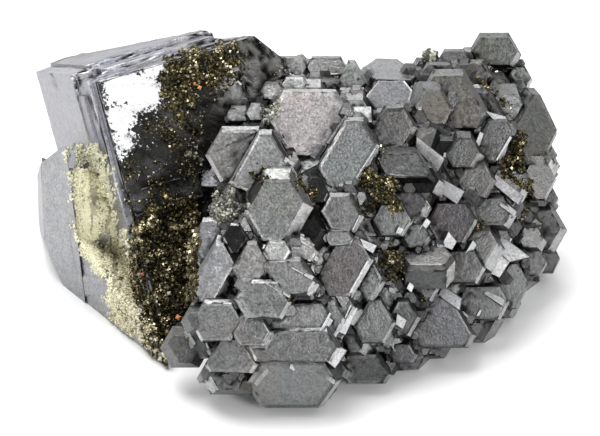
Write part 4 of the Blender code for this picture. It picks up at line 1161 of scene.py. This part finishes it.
# Mirror-bright faces of small crystals on the display side: which way each leans, as a bearing in degrees
# from the right anticlockwise, how steeply, and its corners across and up
SHINING_FACES = [
    (330, 40, (3.4, 14.8), (5.0, 14.4), (3.8, 11.0), (2.0, 12.4)),
    (239, 42, (22.6, 21.5), (30.3, 16.9), (29.5, 15.7), (22.1, 20.3)),
    (239, 30, (23.3, 16.3), (28.9, 11.9), (27.6, 9.2), (23.1, 14.0)),
    (239, 30, (28.4, 7.9), (32.9, 5.3), (31.4, 2.7), (27.1, 5.7)),
    (239, 40, (32.6, 7.0), (36.0, 4.6), (35.6, 4.1), (32.2, 6.4)),
    (57, 40, (40.6, 3.6), (43.4, 1.3), (42.9, 0.3), (39.7, 2.6)),
    (330, 40, (36.0, 17.3), (36.8, 16.9), (35.9, 14.3), (35.0, 14.9)),
    (57, 36, (36.9, 21.5), (41.1, 20.3), (41.7, 18.9), (38.6, 19.7)),
    (330, 45, (42.0, 16.5), (42.4, 16.0), (39.6, 11.3), (39.1, 11.6)),
    (57, 28, (39.1, 8.9), (44.6, 4.4), (43.6, 2.6), (38.6, 6.8)),
    (330, 40, (25.3, 0.0), (26.2, -0.8), (24.7, -3.0), (23.8, -2.3)),
    (330, 40, (19.7, -1.7), (21.1, -2.3), (20.6, -3.5), (19.1, -3.0)),
    (57, 34, (11.9, -4.0), (15.4, -5.5), (14.6, -7.1), (11.6, -5.3)),
    (57, 38, (14.0, -3.3), (15.6, -4.0), (15.3, -4.5), (13.8, -3.7)),
    (330, 38, (16.9, -3.5), (18.4, -3.9), (18.1, -4.5), (17.0, -4.5)),
    (330, 34, (29.7, -2.7), (31.4, -4.7), (30.4, -6.4), (28.3, -5.5)),
    (330, 38, (34.6, -4.4), (35.4, -5.3), (34.1, -7.7), (33.0, -7.1)),
    (57, 26, (40.1, -3.3), (46.0, -7.8), (41.9, -8.8), (38.9, -5.9)),
    (330, 34, (38.9, -5.9), (41.9, -8.8), (39.9, -12.0), (37.9, -11.0)),
    (57, 34, (28.6, -13.5), (32.4, -16.1), (31.9, -18.5), (27.6, -15.4)),
    (57, 38, (37.6, -14.1), (41.0, -16.4), (40.6, -17.7), (36.7, -15.1)),
    (57, 40, (32.6, -18.5), (33.9, -19.7), (33.5, -20.1), (32.3, -18.9)),
    (330, 40, (35.9, -18.3), (36.4, -18.4), (35.8, -19.7), (35.2, -19.6)),
    (330, 36, (19.4, -19.1), (21.4, -20.4), (20.6, -22.3), (19.1, -21.3)),
    (330, 38, (21.9, -12.8), (22.9, -13.5), (22.3, -15.0), (21.3, -14.1)),
    (330, 38, (17.9, -13.5), (19.3, -14.4), (18.9, -15.4), (17.7, -14.7)),
    (330, 40, (10.0, -17.3), (11.6, -18.0), (9.1, -23.4), (7.6, -22.8)),
    (330, 40, (8.0, -25.7), (9.4, -26.5), (7.0, -30.1), (4.9, -28.3)),
    (210, 40, (-6.7, -29.5), (-6.1, -30.7), (-8.6, -33.7), (-9.3, -33.1)),
    (330, 36, (-1.9, -29.1), (-0.4, -29.4), (-1.1, -30.7), (-2.2, -30.1)),
    (57, 38, (3.0, -29.5), (7.1, -32.4), (6.9, -33.4), (2.6, -30.5)),
    (330, 42, (5.9, -18.8), (6.3, -19.1), (4.6, -22.8), (3.8, -22.7)),
    (57, 42, (-6.9, -12.5), (-1.7, -15.3), (-2.1, -16.1), (-7.1, -13.0)),
    (57, 40, (-1.7, -9.7), (0.9, -11.0), (0.6, -11.3), (-1.8, -10.1)),
    (57, 40, (1.1, -10.8), (2.9, -11.7), (2.4, -12.5), (0.7, -11.5)),
    (330, 38, (2.6, -6.8), (3.2, -7.2), (2.1, -8.8), (1.4, -8.5)),
    (330, 38, (3.1, -7.4), (3.9, -8.0), (3.3, -8.8), (2.6, -8.3)),
    (57, 30, (0.0, -3.4), (3.0, -5.3), (2.4, -6.3), (-0.1, -4.7)),
    (330, 42, (13.4, -8.4), (13.9, -8.7), (10.3, -15.1), (9.7, -15.0)),
    (330, 42, (9.1, 20.6), (9.7, 19.9), (5.9, 14.6), (5.3, 15.0)),
    (330, 36, (-2.9, 12.3), (-0.9, 11.0), (-1.7, 9.6), (-3.3, 11.3)),
    (330, 42, (15.0, 14.2), (15.3, 13.8), (11.4, 7.9), (11.0, 8.0)),
    (330, 42, (11.9, 0.7), (12.1, 0.5), (10.7, -2.5), (10.3, -2.5)),
]


# How wide the worn edges of these small crystals are, in metres
SHINING_EDGE = 0.00008


def shining_crystals():
    """Small crystals, each with one face drawn in a lighter copy of the galena as a painted reflection, set
    into the swarm where the display side shows them.
    """
    dice = random.Random(61)
    shape = bmesh.new()
    for bearing, steep, *corners in SHINING_FACES:
        middle = Vector((sum(x for x, _ in corners) / 4, sum(y for _, y in corners) / 4))
        way = Vector((math.cos(math.radians(bearing)), math.sin(math.radians(bearing))))
        reach = max((Vector(corner) - middle).dot(way) for corner in corners)
        slope = min(math.tan(math.radians(steep)), 0.9 / max(reach, 0.1))
        outs, levels = [], []
        for corner in corners + [tuple(middle)]:
            seat = cast_from_front(*corner)[0]
            if seat is not None:
                outs.append(display_of(seat)[2])
                levels.append(outs[-1] + (Vector(corner) - middle).dot(way) * slope)
        if not outs:
            continue
        proud = sorted(levels)[-2] + 0.15
        rim, heel = [], []
        for corner in corners:
            out = proud - (Vector(corner) - middle).dot(way) * slope
            rim.append(shape.verts.new(place(*corner, out)))
            spread = middle + (Vector(corner) - middle) * 1.1
            heel.append(shape.verts.new(place(*spread, min(outs) - 2.6)))
        faces = [shape.faces.new(rim)]
        # The front face takes the finish with the painted reflection
        faces[0].material_index = 1
        for k in range(4):
            faces.append(shape.faces.new((rim[k], heel[k], heel[(k + 1) % 4], rim[(k + 1) % 4])))
        faces.append(shape.faces.new(heel[::-1]))
    bmesh.ops.recalc_face_normals(shape, faces=shape.faces)
    edges = [edge for edge in shape.edges if any(face.material_index == 1 for face in edge.link_faces)]
    bmesh.ops.bevel(shape, geom=edges, offset=SHINING_EDGE, segments=1, affect="EDGES", clamp_overlap=True)
    shade = shape.faces.layers.float.new("shade")
    for face in shape.faces:
        face[shade] = dice.uniform(0.8, 1.1)
    data = bpy.data.meshes.new("shining_crystals")
    shape.to_mesh(data)
    shape.free()
    add_tones(data, dice)
    return linked("shining_crystals", data, CRYSTAL, PAINTED_REFLECTION_FACE)


shining = shining_crystals()
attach(shining, "root")


# Table, light and camera

def table():
    """A broad white table top under the specimen."""
    data = bpy.data.meshes.new("table")
    data.from_pydata([(-4, -4, 0), (4, -4, 0), (4, 4, 0), (-4, 4, 0)], [], [(0, 1, 2, 3)])
    made, tree, surface = new_material("table_white")
    soft = noise_node(tree, specimen_coordinates(tree), 30.0)
    tree.links.new(ramp_node(tree, soft, 0.3, 0.7, 0.5, 0.6), surface.inputs["Roughness"])
    surface.inputs["Base Color"].default_value = (0.86, 0.86, 0.865, 1)
    linked("table", data, made)


def lamp(name, direction, distance, size, power):
    """A round lamp that faces the middle of the display side."""
    data = bpy.data.lights.new(name, "AREA")
    data.shape = "DISK"
    data.size = size
    data.energy = power
    made = bpy.data.objects.new(name, data)
    bpy.context.scene.collection.objects.link(made)
    way = Vector(direction).normalized()
    made.location = place(0, 0, 0) + way * distance
    made.rotation_euler = way.to_track_quat("Z", "Y").to_euler()


def surroundings():
    """A bright room: white above and behind, darker on the side that the camera stands on."""
    world = bpy.data.worlds.new("studio")
    world.use_nodes = True
    bpy.context.scene.world = world
    tree = world.node_tree
    sky = tree.nodes["Background"]
    where = tree.nodes.new("ShaderNodeTexCoord").outputs["Generated"]
    split = tree.nodes.new("ShaderNodeSeparateXYZ")
    tree.links.new(where, split.inputs[0])
    back = ramp_node(tree, split.outputs["Y"], -0.9, 0.3, 0.22, 1.1)
    tree.links.new(back, sky.inputs["Strength"])
    sky.inputs["Color"].default_value = (1.0, 1.0, 1.01, 1)


def camera():
    """A camera that sees the display side straight on."""
    data = bpy.data.cameras.new("display_camera")
    data.sensor_width = SENSOR_WIDTH
    data.lens = SENSOR_WIDTH * DISPLAY_DISTANCE / VIEW_WIDTH
    data.clip_start, data.clip_end = 0.05, 20.0
    made = bpy.data.objects.new("display_camera", data)
    bpy.context.scene.collection.objects.link(made)
    made.location = place(0, 0, DISPLAY_DISTANCE)
    made.rotation_euler = OUT.to_track_quat("Z", "Y").to_euler()
    bpy.context.scene.camera = made


table()
surroundings()
lamp("overhead_lamp", (-0.25, 0.25, 1.0), 0.9, 0.7, 9.0)
lamp("glare_lamp", (0.53, -0.74, 0.41), 0.8, 0.22, 3.2)
camera()
bpy.context.scene.view_settings.view_transform = "Standard"
